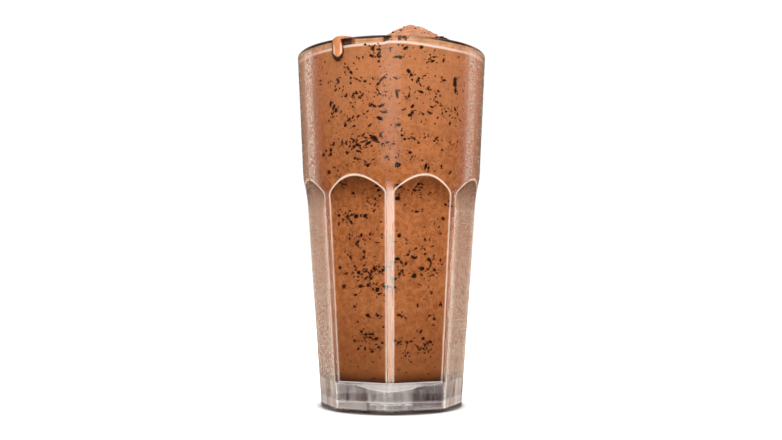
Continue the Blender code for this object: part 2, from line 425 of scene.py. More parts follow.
def build_shake():
    """The drink: heap, a film that it has left on the inside of the lip, wall and floor."""
    n = 300
    theta = np.linspace(0, 2 * math.pi, n, endpoint=False)
    rows, edge = [], []
    for s in np.concatenate([[0.015, 0.035], np.linspace(0.06, 0.985, 54)]):
        rows.append(np.array([top_point(t, float(s)) for t in theta]))
        edge.append(np.full(n, 9.0))
    level = np.array([level_at(t) for t in theta])
    quarter = LIP_R * math.pi / 2
    low = -quarter + (level - LIP_Z)                       # arc length at the drink's edge
    high = np.array([-0.85 / 1000 + 0.00025 * noise.noise(Vector((math.sin(t) * 8, math.cos(t) * 8, 2.0))) for t in theta])

    def on_lip(s_values, off):
        pts = []
        for t, s in zip(theta, s_values):
            r, z, (nr, nz) = lip_point(float(s))
            k = math.hypot(nr, nz)
            pts.append(polar(t, r + nr / k * off, z + nz / k * off))
        return np.array(pts)

    for f, off in ((0.15, 0.00042), (0.45, 0.00030), (0.8, 0.00022), (0.97, 0.00012)):
        s_now = mix(low, high, f)
        rows.append(on_lip(s_now, off))
        edge.append(np.full(n, 8.0))
    for f in (1.0, 0.85, 0.7, 0.55, 0.4, 0.28, 0.18, 0.09, 0.0):
        s_now = mix(low, high, f)
        rows.append(on_lip(s_now, -INTO_WALL))
        edge.append((s_now - low) * 1000)
    for i in range(1, 13):                   # a few rows ease from the wavy edge to level ones
        z = mix(level, 0.1535, (i / 12) ** 1.4)
        rows.append(polar(theta, inner_radius(z) + INTO_WALL, z))
        edge.append((z - level) * 1000)
    corner_z = FLOOR_Z + FLOOR_CORNER

    def wall(z):
        rows.append(polar(theta, float(inner_radius(z)) + INTO_WALL, z))
        edge.append((z - level) * 1000)

    for z in steps(0.1535, BAND_Z + 0.003, 12, (False, True)):
        wall(z)
    for z in steps(BAND_Z + 0.003, WAIST_Z, 16, (False, True)):
        wall(z)
    for z in steps(WAIST_Z, corner_z, 16, (False, False)):
        wall(z)
    r_corner = float(inner_radius(corner_z)) - FLOOR_CORNER
    for a in steps(0, 90, 12, (True, True)):
        a = math.radians(a)
        grow = FLOOR_CORNER + INTO_WALL
        rows.append(polar(theta, r_corner + grow * math.cos(a), corner_z - grow * math.sin(a)))
        edge.append(np.full(n, -140.0))
    for t in (0.8, 0.5, 0.2):
        rows.append(polar(theta, r_corner * t, FLOOR_Z - INTO_WALL))
        edge.append(np.full(n, -140.0))
    obj = ring_mesh("milkshake", rows, top_point(0.0, 0.0), (0, 0, FLOOR_Z - INTO_WALL))
    layer = obj.data.attributes.new("edge_mm", "FLOAT", "POINT")
    layer.data.foreach_set("value", np.concatenate([[9.0]] + edge + [[-140.0]]).astype(np.float32))
    return obj


shake = build_shake()
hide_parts("shake")
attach(shake, "root")


# ------------------------------------------------------------------ drip over the lip
DRIP_AT = math.radians(-30.8)
LEFT = [(-6, 1.5), (-0.6, 1.6), (0.5, 2.1), (1.5, 2.75), (2.6, 3.0), (4.2, 2.95), (6.0, 2.8), (7.6, 2.7), (8.6, 2.35),
        (9.4, 1.75), (10.0, 0.95), (10.26, 0.35), (10.3, 0.05)]
RIGHT = [(-6, 7.6), (-1.5, 7.2), (-0.4, 6.0), (0.3, 4.4), (0.9, 2.9), (1.7, 1.9), (2.8, 2.35), (4.2, 2.75), (6.0, 2.8),
         (7.6, 2.7), (8.6, 2.35), (9.4, 1.75), (10.0, 0.95), (10.26, 0.35), (10.3, 0.05)]
THICK = [(-6, 0.7), (-3, 0.8), (-1, 1.05), (1, 1.2), (3, 1.15), (5.5, 1.25), (8.0, 1.75), (9.3, 1.55), (10.0, 0.9), (10.3, 0.1)]


def curve_through(points, s):
    return float(np.interp(s, [p[0] for p in points], [p[1] for p in points]))


def build_drip():
    """One strand over the lip; one attribute marks painted shade along its edge and round the bead, another two painted
    highlight lines.
    """
    along = list(np.linspace(-3.6, 7.0, 44)) + list(7.0 + 3.3 * np.sin(np.linspace(0, math.pi / 2, 26))[1:])
    across = 48
    rows, skin, sheen = [], [], []
    for s in along:
        left, right, thick = (curve_through(c, s) / 1000 for c in (LEFT, RIGHT, THICK))
        ring = []
        r, z, nrm = lip_point(s / 1000)
        length = math.hypot(*nrm)
        nr, nz = nrm[0] / length, nrm[1] / length
        wave = 0.00010 * noise.noise(Vector((s * 0.5, 0.2, 0.9)))
        for j in range(across):
            w = 2 * math.pi * j / across
            cw, bulge = math.cos(w), math.sin(w)
            side = cw * (right if cw > 0 else left)
            if bulge >= 0:
                lift = thick * (bulge ** 0.85) * (1 + 0.06 * noise.noise(Vector((s * 0.35, cw * 2, 4.0))))
            else:
                lift = -0.00018
            ring.append(polar(DRIP_AT + side / r, r + nr * lift, z + nz * lift + wave * max(bulge, 0)))
            half = 0.87 * (right + left) / 2 * 1.02
            q = (side * 0.85 - max(lift, 0.0) * 0.53 + 0.00007 - (right - left) * 0.42) / half
            low = max(s - 6.4, 0.0) / 3.9
            bead = float(smooth((math.hypot(q * 0.9, low) - 0.60) / 0.13)) * float(smooth((s - 6.6) / 1.5))
            edge = float(smooth((abs(q) - 0.76) / 0.10)) * float(smooth((s - 0.6) / 1.4))
            # painted shade: the pool beside the strand is dark where it meets the lip
            against = 0.0                                # the pool beside the strand is dark where it meets the lip
            if bulge < 0 and s < 0.9 and side > 0.0008:
                against = 0.95 - 0.85 * float(smooth((side - 0.0048) / 0.0022))
            skin.append(max(edge, bead, against))
            sheen.append(math.exp(-((abs(q) - 0.56) / 0.10) ** 2) * float(smooth((s - 2.6) / 2.0)) * (1 - bead))
        rows.append(np.array(ring))
    verts = np.concatenate(rows)
    faces = []
    for i in range(len(rows) - 1):
        for j in range(across):
            k = (j + 1) % across
            faces.append((i * across + j, i * across + k, (i + 1) * across + k, (i + 1) * across + j))
    faces.append(tuple(range(across))[::-1])
    end = (len(rows) - 1) * across
    faces.append(tuple(end + j for j in range(across)))
    obj = new_mesh("drip", verts, faces)
    for name, values in (("skin", skin), ("sheen", sheen)):
        layer = obj.data.attributes.new(name, "FLOAT", "POINT")
        layer.data.foreach_set("value", np.array(values, np.float32))
    return obj


drip = build_drip()
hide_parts("shake_drip")
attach(drip, "root")


# ------------------------------------------------------------------ biscuit flecks
# Flecks that show at the wall towards the front: angle from the front ridge in
# degrees, height, length and width in millimetres, tilt in degrees, and tone
# (0 is the darkest, 1 is one that lies deep in the drink).
FRONT_FLECKS = (
    (-32.1,150,1.6,0.8,10,0),(-27.6,147.9,1,0.6,-50,0),(-25.7,146.1,1.2,0.6,-50,0.2),
    (-23.7,144.1,1.4,0.8,-60,0),(-24.7,145.2,0.6,0.5,0,0.3),(-6.3,148,0.9,0.8,0,0),
    (-5.6,145.9,0.6,0.5,0,0.4),(22.6,147.9,0.8,0.6,0,0.1),(26.5,148.9,1.6,0.9,20,0),
    (33.9,149.7,1.4,0.8,70,0.1),(11.5,144.1,2,1,-55,0),(12.9,142.4,1.5,0.8,-60,0),
    (13.6,140.5,0.8,0.6,0,0),(22,142.5,0.7,0.6,0,0.2),(-41.5,145,1,0.5,60,0.7),
    (-47.5,142.5,1.6,0.4,0,0.5),(-47.2,141.1,1.4,0.4,0,0.6),(-33,141.4,1.8,0.6,-60,0.2),
    (-34.7,137.4,1.6,0.5,30,0.1),(-32,137.9,1,0.5,-40,0.1),(-23.8,141.8,0.8,0.7,80,0),
    (-23.9,139.6,1,0.7,80,0.1),(-20.2,141.1,1.2,0.5,-30,0.1),(-18,140.2,1.2,0.5,-30,0.2),
    (-14.6,139.8,1.1,0.9,0,0),(-10.1,141.1,1.2,0.4,70,0.3),(-11.4,138.7,0.6,0.5,0,0.2),
    (-3.5,141.1,2.2,0.6,20,0),(-5.3,140,1.6,0.7,50,0),(-6.9,138.6,1.4,0.6,30,0.1),
    (-1.7,142.5,0.9,0.6,-30,0.1),(3.6,141,1.7,0.4,-25,0.2),(17.5,140.3,1.2,0.6,-60,0.1),
    (18.6,138.6,1.4,0.5,-60,0.2),(16.4,139.8,0.6,0.5,0,0.4),(34.3,141.3,2,0.6,5,0.1),
    (32.9,140.5,0.6,0.4,0,0.3),(43.2,142.4,1.6,1.2,80,0.45),(43.1,140.5,2.6,1.7,85,0.05),
    (43.8,137.6,2.4,1.2,-80,0.35),(45.5,136.4,0.8,0.7,0,0.5),(-7.2,136.1,1.4,0.4,-45,0.2),
    (-5.7,134.5,1.4,0.4,-50,0.3),(-8.1,135,0.7,0.4,0,0.5),(-2.1,135.2,1.2,0.4,-5,0.2),
    (4.5,134.1,2.3,0.8,-75,0),(3.8,135.4,1.2,0.4,-85,0.3),(-27.2,134.6,1.4,0.6,70,0.1),
    (-28.4,134.2,0.8,0.5,-30,0.3),(-22.6,134.7,1.4,0.5,60,0.2),(-20.4,135.1,1.5,0.5,0,0.1),
    (-21.8,133.2,1,0.4,80,0.4),(-18.5,133.1,1.4,0.6,-20,0),(-16.7,134.2,1.6,0.4,50,0.2),
    (-16.3,131.8,0.6,0.4,0,0.3),(-13.4,132.2,0.6,0.4,0,0.4),(19.1,135.5,2,0.7,-10,0),
    (17.4,136,0.5,0.4,0,0.3),(23.7,137.1,1.1,0.8,-50,0.1),(24.4,137.9,0.6,0.5,0,0.3),
    (11.7,133.6,1.5,0.6,55,0.2),(16.8,132.7,0.7,0.6,0,0.4),(12.4,136.5,0.6,0.5,0,0.2),
    (29.3,135.2,0.9,0.6,-60,0.1),(29,133.9,0.8,0.6,0,0.1),(30.6,136.1,0.7,0.4,0,0.2),
    (25.5,132.8,0.8,0.6,20,0.1),(29.6,131.8,0.9,0.5,-20,0.2),(32.7,131.1,1,0.4,-20,0.2),
    (27.7,132.2,0.5,0.4,0,0.3),(-39.2,131.8,2.2,0.7,80,0),(-36.7,130.1,2,0.9,60,0),
    (-35.2,128.9,1.6,1,50,0.1),(-31.4,128,0.9,0.5,-80,0.3),(-38.5,127.5,1.4,0.5,-60,0.4),
    (-37.8,126.1,1.4,0.5,20,0.5),(-34.6,126.3,0.7,0.4,0,0.3),(-41.2,124.7,1.2,0.8,0,0.8),
    (-22.9,129.6,0.9,0.7,0,0.1),(-25.5,124.3,1.4,0.6,50,0.1),(-23.2,125.1,1.3,0.5,60,0),
    (-24.5,123.4,0.8,0.6,0,0.2),(-19.5,125.4,1.2,0.6,30,0.2),(-28.7,122,1.1,1,0,0.1),
    (-22.4,121.4,1.3,0.5,15,0.2),(-26.9,123.8,0.6,0.5,0,0.3),(-10.7,130.1,1.1,0.8,-40,0),
    (-9.3,129.4,1.3,0.9,-20,0),(-4.7,129.5,2.2,0.7,30,0.05),(-6.7,129.4,0.6,0.4,0,0.3),
    (-13.4,127.3,1,0.5,20,0.1),(-2.9,126.7,2.4,0.6,-3,0.05),(-1.8,127.4,0.8,0.3,0,0.5),
    (-5.8,124.2,2.2,0.9,-25,0),(-12.3,121.3,1.3,0.5,40,0.1),(-11.1,122.2,0.6,0.4,0,0.4),
    (14.1,129.4,1.5,0.9,50,0),(8.8,127.8,2.2,0.4,10,0.45),(12.3,125.6,1.6,1,10,0),
    (13.8,126.7,1.6,0.8,50,0),(15,127.6,0.7,0.5,0,0.2),(20.8,126.3,1.3,0.6,-30,0.25),
    (25.3,127,2,1.1,-10,0.55),(26.4,129.6,1.4,0.5,-10,0.1),(24.1,127.5,0.8,0.6,0,0.6),
    (34.2,127.5,1,0.6,80,0.1),(37,128.1,0.9,0.4,20,0.2),(35.7,129.4,0.6,0.4,0,0.4),
    (39.8,126.6,0.9,0.6,60,0.2),(44.2,129.6,1.6,0.6,-60,0.2),(46.4,127.9,1.4,0.7,-70,0.5),
    (30.8,125.2,1,0.6,50,0.2),(40.9,129,0.5,0.4,0,0.4),(5.6,121.5,1.3,0.8,10,0.05),
    (4,121.4,0.6,0.5,0,0.4),(5.5,123.9,0.8,0.4,20,0.2),(7.4,119,0.8,0.7,0,0.1),
    (7.4,117.1,0.9,0.8,0,0.1),(19.8,123.1,1.3,0.4,80,0.7),(40.4,123.3,1.5,0.8,80,0.2),
    (29.1,122.6,0.9,0.6,0,0.6),(21.6,122.1,0.7,0.4,0,0.7),(-16.3,117.6,1.6,0.6,50,0.15),
    (-15.1,116.3,1.4,0.5,-20,0.1),(-11.5,116.9,1.4,0.6,-30,0),(-9.3,115.6,2.4,1.5,-40,0),
    (-7.2,114.3,1.4,0.5,-20,0.1),(-5.4,117.2,1.8,0.7,80,0.2),(-4.6,116.4,1.2,0.4,-85,0.3),
    (-13.2,114.1,2.2,0.8,25,0),(-16.7,114.6,1.8,0.5,10,0.1),(-20.4,113.4,2,1,-20,0),
    (-22.5,112.5,1.2,0.6,20,0.1),(-22.7,115.3,1.2,0.6,60,0.1),(-21.1,114.6,0.9,0.5,0,0.2),
    (-28.1,114.6,1.5,0.7,75,0),(-25.5,114.9,0.9,0.6,0,0.1),(-31.2,114.8,2,0.5,85,0.1),
    (-19.8,110.8,2,0.5,-25,0.05),(-18.1,111.6,1.4,0.4,-30,0.3),(-27.5,110.2,1.2,0.7,20,0.2),
    (-24.3,111.8,1,0.5,40,0.4),(-14.8,112.1,1.4,0.5,-10,0.5),(-25.6,113.1,0.8,0.6,0,0.3),
    (-11,112.7,0.9,0.6,0,0.6),(-18.8,112.8,0.8,0.4,0,0.2),(-37.7,114.6,1.6,0.6,70,0.2),
    (-40.4,112.2,1.5,0.9,70,0.2),(-40.5,110.5,1.6,1,80,0.3),(-47.5,110.6,1.6,1.2,30,0.6),
    (-44.5,112,1,0.8,0,0.7),(-4,113.5,1.1,0.6,10,0.15),(-1.2,114,1.4,0.5,15,0.15),
    (2.2,113.4,1.2,0.7,0,0.75),(9.3,115.6,1,0.9,40,0),(12.4,115.7,0.9,0.6,0,0.15),
    (14,116.1,0.8,0.5,40,0.15),(15.6,115.7,1.2,0.6,-50,0.1),(13.4,116.7,0.6,0.4,0,0.4),
    (18.1,114.2,1.1,0.9,20,0.05),(24.5,117.4,1.4,0.4,-75,0.4),(22.5,116.6,1,0.5,30,0.4),
    (30.3,116.4,1.8,0.6,45,0.15),(31.6,115.6,0.8,0.5,0,0.3),(28.7,115.3,0.8,0.6,0,0.4),
    (41.9,114.5,1,0.4,-40,0.3),(44,114.7,1,0.4,40,0.3),(47.4,115.9,1.1,0.6,80,0.5),
    (12.8,110,1.2,1,0,0.05),(10.3,109.3,0.5,0.4,0,0.4),(5.6,108.6,2,0.4,88,0.35),
    (5.1,104.7,1.8,1.6,0,0),(4.1,105.7,0.6,0.5,0,0.3),(-1.6,108,1.1,0.7,10,0.4),
    (-2.8,107.6,0.6,0.4,0,0.4),(-22.7,107.7,1,0.7,60,0.1),(-20.4,107.5,1.1,0.8,0,0.1),
    (-13.7,104.6,1.5,1,60,0.15),(-15,106.1,0.9,0.5,60,0.4),(-12.4,105.2,0.8,0.5,0,0.5),
    (-10.1,107,1.3,0.5,20,0.2),(20.7,106.9,1,0.6,-30,0.15),(23.2,104.3,1.9,0.8,75,0.05),
    (25.3,103.8,1.4,0.7,60,0.15),(34.6,111.7,1,0.7,0,0.3),(34.4,105.1,0.9,0.5,60,0.4),
    (42.2,102.5,2,0.8,55,0.5),(29.8,102.7,0.7,0.5,0,0.3),(40.5,109.5,0.8,0.5,0,0.6),
    (-43.2,102.8,1.6,1.2,0,0.6),(-35.3,103.2,1,0.6,0,0.4),(-30.5,104,0.8,0.5,70,0.4),
    (-28.1,105,0.8,0.5,0,0.5),(0.3,102.4,0.9,0.6,0,0.4),(-35.6,99.1,1.8,0.7,20,0.1),
    (-33.6,98.1,1,0.6,0,0.3),(-31.8,97.7,0.8,0.6,0,0.2),(-27.1,93.7,1,0.8,-50,0.2),
    (-19.3,93.6,0.9,0.5,0,0.3),(-7,94.9,1.3,1,0,0.05),(-8.4,96.8,1.2,0.6,30,0.4),
    (-6.1,92.2,1,0.8,0,0.1),(-10,91,0.9,0.6,0,0.2),(-14.8,89.3,0.9,0.6,-40,0.1),
    (-13.3,88.7,0.6,0.5,0,0.2),(-10.1,88.5,1.4,0.4,70,0.2),(-11,85.8,1.2,0.5,60,0.2),
    (-17.3,87.9,0.6,0.4,0,0.3),(-12.5,86.8,0.5,0.4,0,0.2),(-7.7,87.8,0.5,0.4,0,0.4),
    (-41.3,84.4,1.3,0.7,10,0.1),(-42.4,86.1,0.6,0.5,0,0.3),(-38.4,85.8,0.9,0.5,0,0.4),
    (-33.1,83.7,1.4,0.9,80,0),(-29.3,84.3,1.2,0.7,0,0.1),(-25.4,83.7,1.8,1.2,10,0),
    (-21.6,83.9,0.8,0.7,0,0.1),(-18,83.9,1.8,1.1,30,0),(-16.7,82.9,0.8,0.6,0,0.2),
    (-35.1,85.1,0.7,0.5,0,0.2),(-30.1,81.3,1.7,0.6,-50,0.05),(-32.1,82.6,0.9,0.6,0,0.1),
    (-37.7,82.8,0.9,0.6,0,0.2),(-30.9,86,0.8,0.6,0,0.2),(-25.2,86.6,0.7,0.4,0,0.3),
    (-42,80.5,1,0.5,30,0.2),(-5.5,81.1,0.7,0.6,0,0.4),(-36.2,88.3,0.5,0.4,0,0.4),
    (-32.2,76.2,1,0.6,80,0.1),(-32,74.3,0.9,0.7,0,0.1),(-24.8,72.8,1.7,0.8,45,0.05),
    (-26.6,71.5,0.9,0.5,0,0.3),(-21.6,75.7,1.3,0.7,85,0.1),(-20,74,0.7,0.5,0,0.3),
    (-14.3,76.1,1.4,0.6,70,0.2),(-14.6,74,0.7,0.5,0,0.3),(-4.5,75.8,1.1,0.7,50,0.1),
    (-4.8,74.4,0.8,0.6,0,0.2),(-8.1,72.5,1.8,0.4,0,0.5),(-25.9,75.1,0.6,0.4,0,0.4),
    (-18.8,71.9,0.6,0.5,0,0.3),(-29.8,71.1,0.5,0.4,0,0.4),(-31.9,66.3,1.4,0.8,-60,0.15),
    (-34.3,67.3,0.8,0.5,0,0.4),(-20.2,66.2,1.7,0.7,40,0.1),(-19.6,68.5,1.2,1,0,0.1),
    (-22.6,65.1,0.8,0.5,0,0.3),(-10.7,66.6,0.6,0.5,0,0.3),(-37.1,68.6,0.6,0.5,0,0.4),
    (-11.4,61.5,1.6,1.5,0,0),(-17.9,60.8,1.6,0.5,60,0.05),(-16.4,59.8,1.5,0.5,-50,0.05),
    (-25.3,59.7,1.4,1.1,10,0.05),(-22.5,58.9,1,0.5,20,0.1),(-14.9,58.5,1.4,0.5,50,0.1),
    (-13.4,60.2,1.4,0.5,-40,0.1),(-3.7,60.9,1.8,1,20,0.05),(-2.1,62.2,2.2,0.6,0,0.05),
    (-7.5,62.3,1,0.8,0,0.1),(-6.7,60.2,1.2,0.8,0,0.1),(-10,59.2,0.9,0.6,0,0.2),
    (-19.8,60,0.8,0.6,0,0.1),(-17.8,57.9,1,0.5,40,0.2),(-14.3,57.2,1,0.6,-40,0.2),
    (-28.4,62.4,0.9,0.8,0,0.1),(-19.3,63,0.8,0.5,0,0.3),(-29.8,59.6,1.4,0.5,0,0.4),
    (-36.6,59.4,1.6,0.6,20,0.4),(-42.6,62,1.7,1.6,0,0.5),(-39.7,53.7,2,2.2,0,0.75),
    (-19.1,57.2,1,0.6,0,0.3),(-25.7,57.9,0.9,0.5,0,0.4),(-23.5,54,1.4,0.9,10,0.05),
    (-16.6,54.4,1.3,1.2,0,0.1),(-8.9,52.7,1.6,1.1,10,0.05),(-12.4,52.6,0.9,0.7,0,0.2),
    (-2.8,53.9,1.8,1.2,0,0.05),(-5.1,54.7,1,0.6,40,0.3),(-1.4,53.6,1.6,0.6,0,0.1),
    (-15.3,55.3,0.7,0.5,0,0.4),(-7.7,50.7,1.1,0.7,0,0.2),(-3,50.3,0.8,0.6,0,0.2),
    (-28.1,50.2,1.4,0.8,10,0.3),(-9.7,54.5,0.6,0.5,0,0.3),(-23.8,51.9,0.6,0.5,0,0.5),
    (16.6,94.9,1,0.8,0,0.1),(18.2,96.3,1.2,0.6,50,0.15),(19.6,97.5,1.2,0.8,40,0.15),
    (21.3,94.9,1.1,0.6,0,0.05),(22.7,96,1,0.7,0,0.1),(17.8,94.6,1.2,0.7,0,0.05),
    (9.4,95.2,1,0.5,0,0.2),(12.5,94.8,0.8,0.7,0,0.05),(7.9,96.1,0.6,0.4,0,0.3),
    (30.2,94,0.9,0.7,0,0.15),(5.6,96.5,1.5,1,0,0.2),(4.4,91,1.9,1.6,0,0.35),
    (6.1,92.5,0.9,0.7,0,0.6),(10.4,88.3,0.8,0.6,0,0.3),(19.2,85.5,1.4,0.7,5,0.15),
    (16.8,86,0.7,0.4,0,0.4),(22.7,91.5,1.1,0.6,0,0.3),(22.9,92.7,0.6,0.4,0,0.5),
    (44.9,89.1,1.3,0.9,0,0.02),(49,88.4,1.4,0.9,0,0.5),(43.2,83,1.6,1.3,0,0.2),
    (39.3,79.4,1,0.7,30,0.3),(48,90.7,0.8,0.6,0,0.5),(40.9,76.3,0.9,0.7,0,0.4),
    (5.9,75.4,1.5,1.2,60,0.1),(3.9,77.3,0.9,0.6,0,0.5),(27.3,74,1.2,0.6,-60,0.3),
    (11.8,72,0.9,0.7,0,0.3),(2,72.8,2,0.4,0,0.3),(19.9,70,1.2,0.6,30,0.2),
    (18.2,69.3,0.6,0.4,0,0.3),(26.9,69.8,1.4,0.6,-50,0.3),(24.9,70.8,0.7,0.5,0,0.4),
    (34.4,71.1,1.6,0.6,10,0.3),(27.7,67.7,1.2,0.6,20,0.1),(26.1,79.1,0.8,0.5,-50,0.5),
    (13.3,67.4,1.3,0.7,30,0.15),(10.5,66.8,0.8,0.5,0,0.3),(14.1,68.7,0.7,0.5,0,0.3),
    (17.1,66.4,1.3,1,0,0.1),(19.2,66,1.4,0.9,0,0.1),(4.6,65.5,1.8,1,0,0.15),
    (2.4,64.2,1.4,0.8,0,0.1),(8.1,64,1.4,0.9,-40,0.05),(11.6,63.4,1.4,0.8,60,0.05),
    (9.3,62.6,0.7,0.5,0,0.3),(31,65.5,1.4,0.9,0,0.05),(32.9,64.3,1.8,0.5,-60,0.05),
    (35.1,65.6,1.4,0.4,50,0.3),(32.6,62.6,1.8,0.5,75,0.05),(30.4,61.1,1.4,0.6,30,0.1),
    (25.4,61.3,1.9,1.5,0,0.05),(28.6,60.4,0.9,0.6,0,0.2),(37,60.7,1.8,1,0,0.35),
    (35.7,58.7,1.4,0.6,-30,0.3),(39.1,59.6,1.2,0.5,0,0.4),(40.2,63.5,0.8,0.5,60,0.3),
    (42.4,65.2,1.8,0.8,80,0.5),(44.4,63.3,1,0.6,0,0.6),(33.3,58.5,0.9,0.6,0,0.3),
    (19.1,58.5,1.9,1.8,0,0.02),(17,57.9,1,0.6,0,0.3),(6.5,59.2,1.3,0.9,60,0.1),
    (9,60.6,1.2,0.6,50,0.2),(6.1,57.7,0.8,0.5,0,0.4),(2.3,57.1,2,0.9,0,0.15),
    (2.3,53.6,1.6,0.8,0,0.1),(0.9,53.8,1.2,0.5,0,0.1),(24.7,54.3,1.2,0.5,-20,0.4),
    (34.9,51.2,0.9,0.8,0,0.2),(27.5,57.2,0.8,0.6,0,0.6),(-9,52.1,1.2,0.8,0,0.1),
    (-29.2,45.2,1,0.8,0,0.4),(-17.6,41.6,1.3,1,-40,0.05),(-15.6,40.7,0.8,0.5,0,0.3),
    (-9.2,41.6,1.2,1,-50,0.1),(-6.2,41.2,1,0.4,60,0.3),(-7.1,40.4,0.8,0.4,0,0.3),
    (-27.1,38.7,1,0.6,-60,0.3),(-4.5,36.8,0.9,0.7,0,0.4),(-24,34.6,1.1,0.9,0,0.05),
    (-19.9,33.6,1.5,0.8,20,0.02),(-16.6,33.7,1.4,0.7,-30,0.05),(-13.7,33.7,1.5,0.8,-20,0),
    (-10.4,31.9,1.6,0.9,10,0.1),(-19,32.5,1,0.6,0,0.2),(-15.8,32.3,1.2,0.6,0,0.2),
    (-13.6,31.4,1,0.6,0,0.3),(-30.8,30.7,1.3,0.9,-60,0.15),(-32.7,32.5,0.7,0.6,0,0.3),
    (-29,32.9,0.7,0.5,0,0.4),(-23.3,30.7,0.7,0.5,0,0.3),(-22.1,35.8,0.6,0.5,0,0.3),
    (-27.7,27.3,1.3,0.9,40,0.1),(-24.9,28.5,0.8,0.5,0,0.3),(-21.1,27.5,1.4,0.7,70,0.3),
    (-14.7,26.3,1.2,0.6,0,0.1),(-11.4,27.4,1.1,0.4,50,0.3),(-8.5,28.2,1.1,1,0,0.1),
    (-5.2,30.1,1.1,0.8,0,0.2),(-20,30.3,0.6,0.5,0,0.4),(-16.4,29.5,0.6,0.5,0,0.4),
    (-26.1,25.1,0.6,0.5,0,0.4),(-14.2,21.9,1.2,0.5,-20,0.3),(-28.5,19.6,0.9,0.5,0,0.5),
    (-13.2,14.9,1,0.6,0,0.4),(-39.1,24.4,0.8,0.6,0,0.5),(-21.3,24.3,0.6,0.4,0,0.5),
    (-7.4,23.7,0.5,0.4,0,0.5),(-35.6,21.9,0.6,0.5,0,0.6),(-19.8,18,0.6,0.4,0,0.6),
    (34.9,51.3,0.9,0.6,0,0.3),(22.5,45.7,1.7,0.6,85,0.15),(28,48.3,0.8,0.5,0,0.5),
    (44.2,46.1,1.3,0.8,60,0.3),(6,41.9,1.5,0.9,10,0.02),(8.5,41.3,1.1,0.6,-40,0.1),
    (11.9,40.6,1,0.5,-40,0.4),(33.3,41.3,1.5,0.7,40,0.3),(38.5,39.9,1.3,1,0,0.3),
    (31,39.5,0.6,0.4,0,0.5),(25.9,34.7,1.8,0.8,55,0.1),(28.2,31.7,1.4,0.8,10,0.02),
    (32.3,29.7,1.2,0.7,-20,0.1),(35.8,30.2,1.5,0.8,-40,0.03),(30.4,28.9,0.9,0.6,0,0.3),
    (38,29,0.7,0.5,0,0.3),(2.7,31.1,1.3,0.8,0,0.15),(6,30.3,1.4,0.8,0,0.1),
    (8.2,30.7,0.8,0.6,0,0.2),(13.6,30.3,1.2,0.7,0,0.1),(17.2,30.6,1.2,0.7,10,0.05),
    (13.4,28.6,1.3,0.4,85,0.3),(19.8,32,0.6,0.5,0,0.4),(23.1,28.2,1,0.8,0,0.1),
    (24.7,26.9,0.8,0.5,0,0.3),(29,27.3,1.2,0.6,0,0.2),(32,27.8,0.8,0.5,0,0.3),
    (34.1,26.3,1.1,0.5,40,0.2),(30.2,25.5,0.8,0.5,0,0.4),(23.9,25.7,0.7,0.5,0,0.4),
    (36.7,26.9,0.6,0.5,0,0.4),(12.4,24.7,1.1,0.6,50,0.1),(10.5,25.8,0.9,0.6,0,0.2),
    (14.6,25.7,0.9,0.6,50,0.15),(16,24.2,0.7,0.5,0,0.4),(8.8,23.7,0.6,0.5,0,0.4),
    (36.2,23.7,0.6,0.5,0,0.4),(17.5,21.9,0.7,0.5,0,0.5),(13.1,17.4,1,0.4,10,0.5),
    (34.5,16.5,1,0.4,0,0.5),(23.2,20.1,0.6,0.4,0,0.6),(30,21.7,0.6,0.4,0,0.6),
    (6.6,18.6,0.6,0.4,0,0.6),(41.8,19.3,0.6,0.5,0,0.6),(-14.5,155.2,1,0.7,30,0),
    (-8.8,154.6,0.9,0.7,60,0),(-10,153.6,1.3,0.8,40,0),(-9.5,153,0.9,0.6,-40,0.1),
    (-6.1,153,1.5,0.5,0,0.1),(-6.1,151.5,1.6,0.6,50,0.1),(-10.6,150.4,1.6,0.9,-15,0),
    (-8.2,149.8,0.7,0.6,-50,0.1),(-5.6,150,1.5,0.8,20,0),(-18.4,149.7,0.9,0.5,85,0.3),
    (-16,149.8,0.8,0.6,0,0.3),(-21.6,147.9,0.7,0.5,0,0.2),(-19.8,145.3,0.6,0.5,0,0.3),
    (-42.8,150.2,1.4,0.5,-60,0.6),(-51.6,153.2,1.2,0.7,0,0.8),(-40.5,141.1,0.8,0.5,80,0.4),
    (-38.4,141.4,0.7,0.5,0,0.4),(0.4,153.5,1,0.5,-70,0.2),(5.3,154.8,0.8,0.5,-60,0.2),
    (7.7,154.6,0.8,0.5,30,0.3),(9.5,153.6,2,0.8,25,0),(19.1,154.2,1.2,0.8,30,0.05),
    (3.9,149.8,2.4,0.6,8,0.1),(6.5,149.7,1.2,1,0,0),(12,150.1,0.7,0.4,30,0.3),
    (15.5,149.2,0.7,0.5,0,0.4),(24.6,151.4,0.9,0.7,20,0.1),(26.9,150.7,1.2,0.6,0,0.1),
    (24.7,149.5,1.1,0.6,-50,0.1),(23,146,0.5,0.4,0,0.5),(12,141.6,0.7,0.5,-40,0.2),
    (17.9,141.3,1.1,0.8,0,0.3),(28.3,142.7,0.7,0.5,0,0.3),(30.5,136.5,1.1,0.6,-45,0.1),
    (28,133,0.5,0.5,0,0.2),(20.7,130.9,0.5,0.4,0,0.5),(45.6,152.4,1,0.6,60,0.7),
    (50.9,138.2,0.9,0.5,60,0.6),
)


def chip(verts, faces, tones, centre, u, v, n, length, width, thick, tone, rng):
    """Adds one flat angular crumb to the lists."""
    base = len(verts)
    sides = rng.choice((4, 5, 5, 6))
    phase = rng.uniform(0, 2 * math.pi)
    outline = []
    for i in range(sides):
        a = 2 * math.pi * i / sides + phase
        r = rng.uniform(0.60, 1.30)
        outline.append((math.cos(a) * r * length / 2, math.sin(a) * r * width / 2))
    for a, b in outline:
        verts.append(centre + u * a + v * b)
    for a, b in outline:
        verts.append(centre + u * (a * 0.96) + v * (b * 0.96) - n * thick)
    tones += [tone] * (2 * sides)
    faces.append(tuple(base + i for i in range(sides)))
    faces.append(tuple(base + sides + i for i in reversed(range(sides))))
    for i in range(sides):
        j = (i + 1) % sides
        faces.append((base + i, base + sides + i, base + sides + j, base + j))


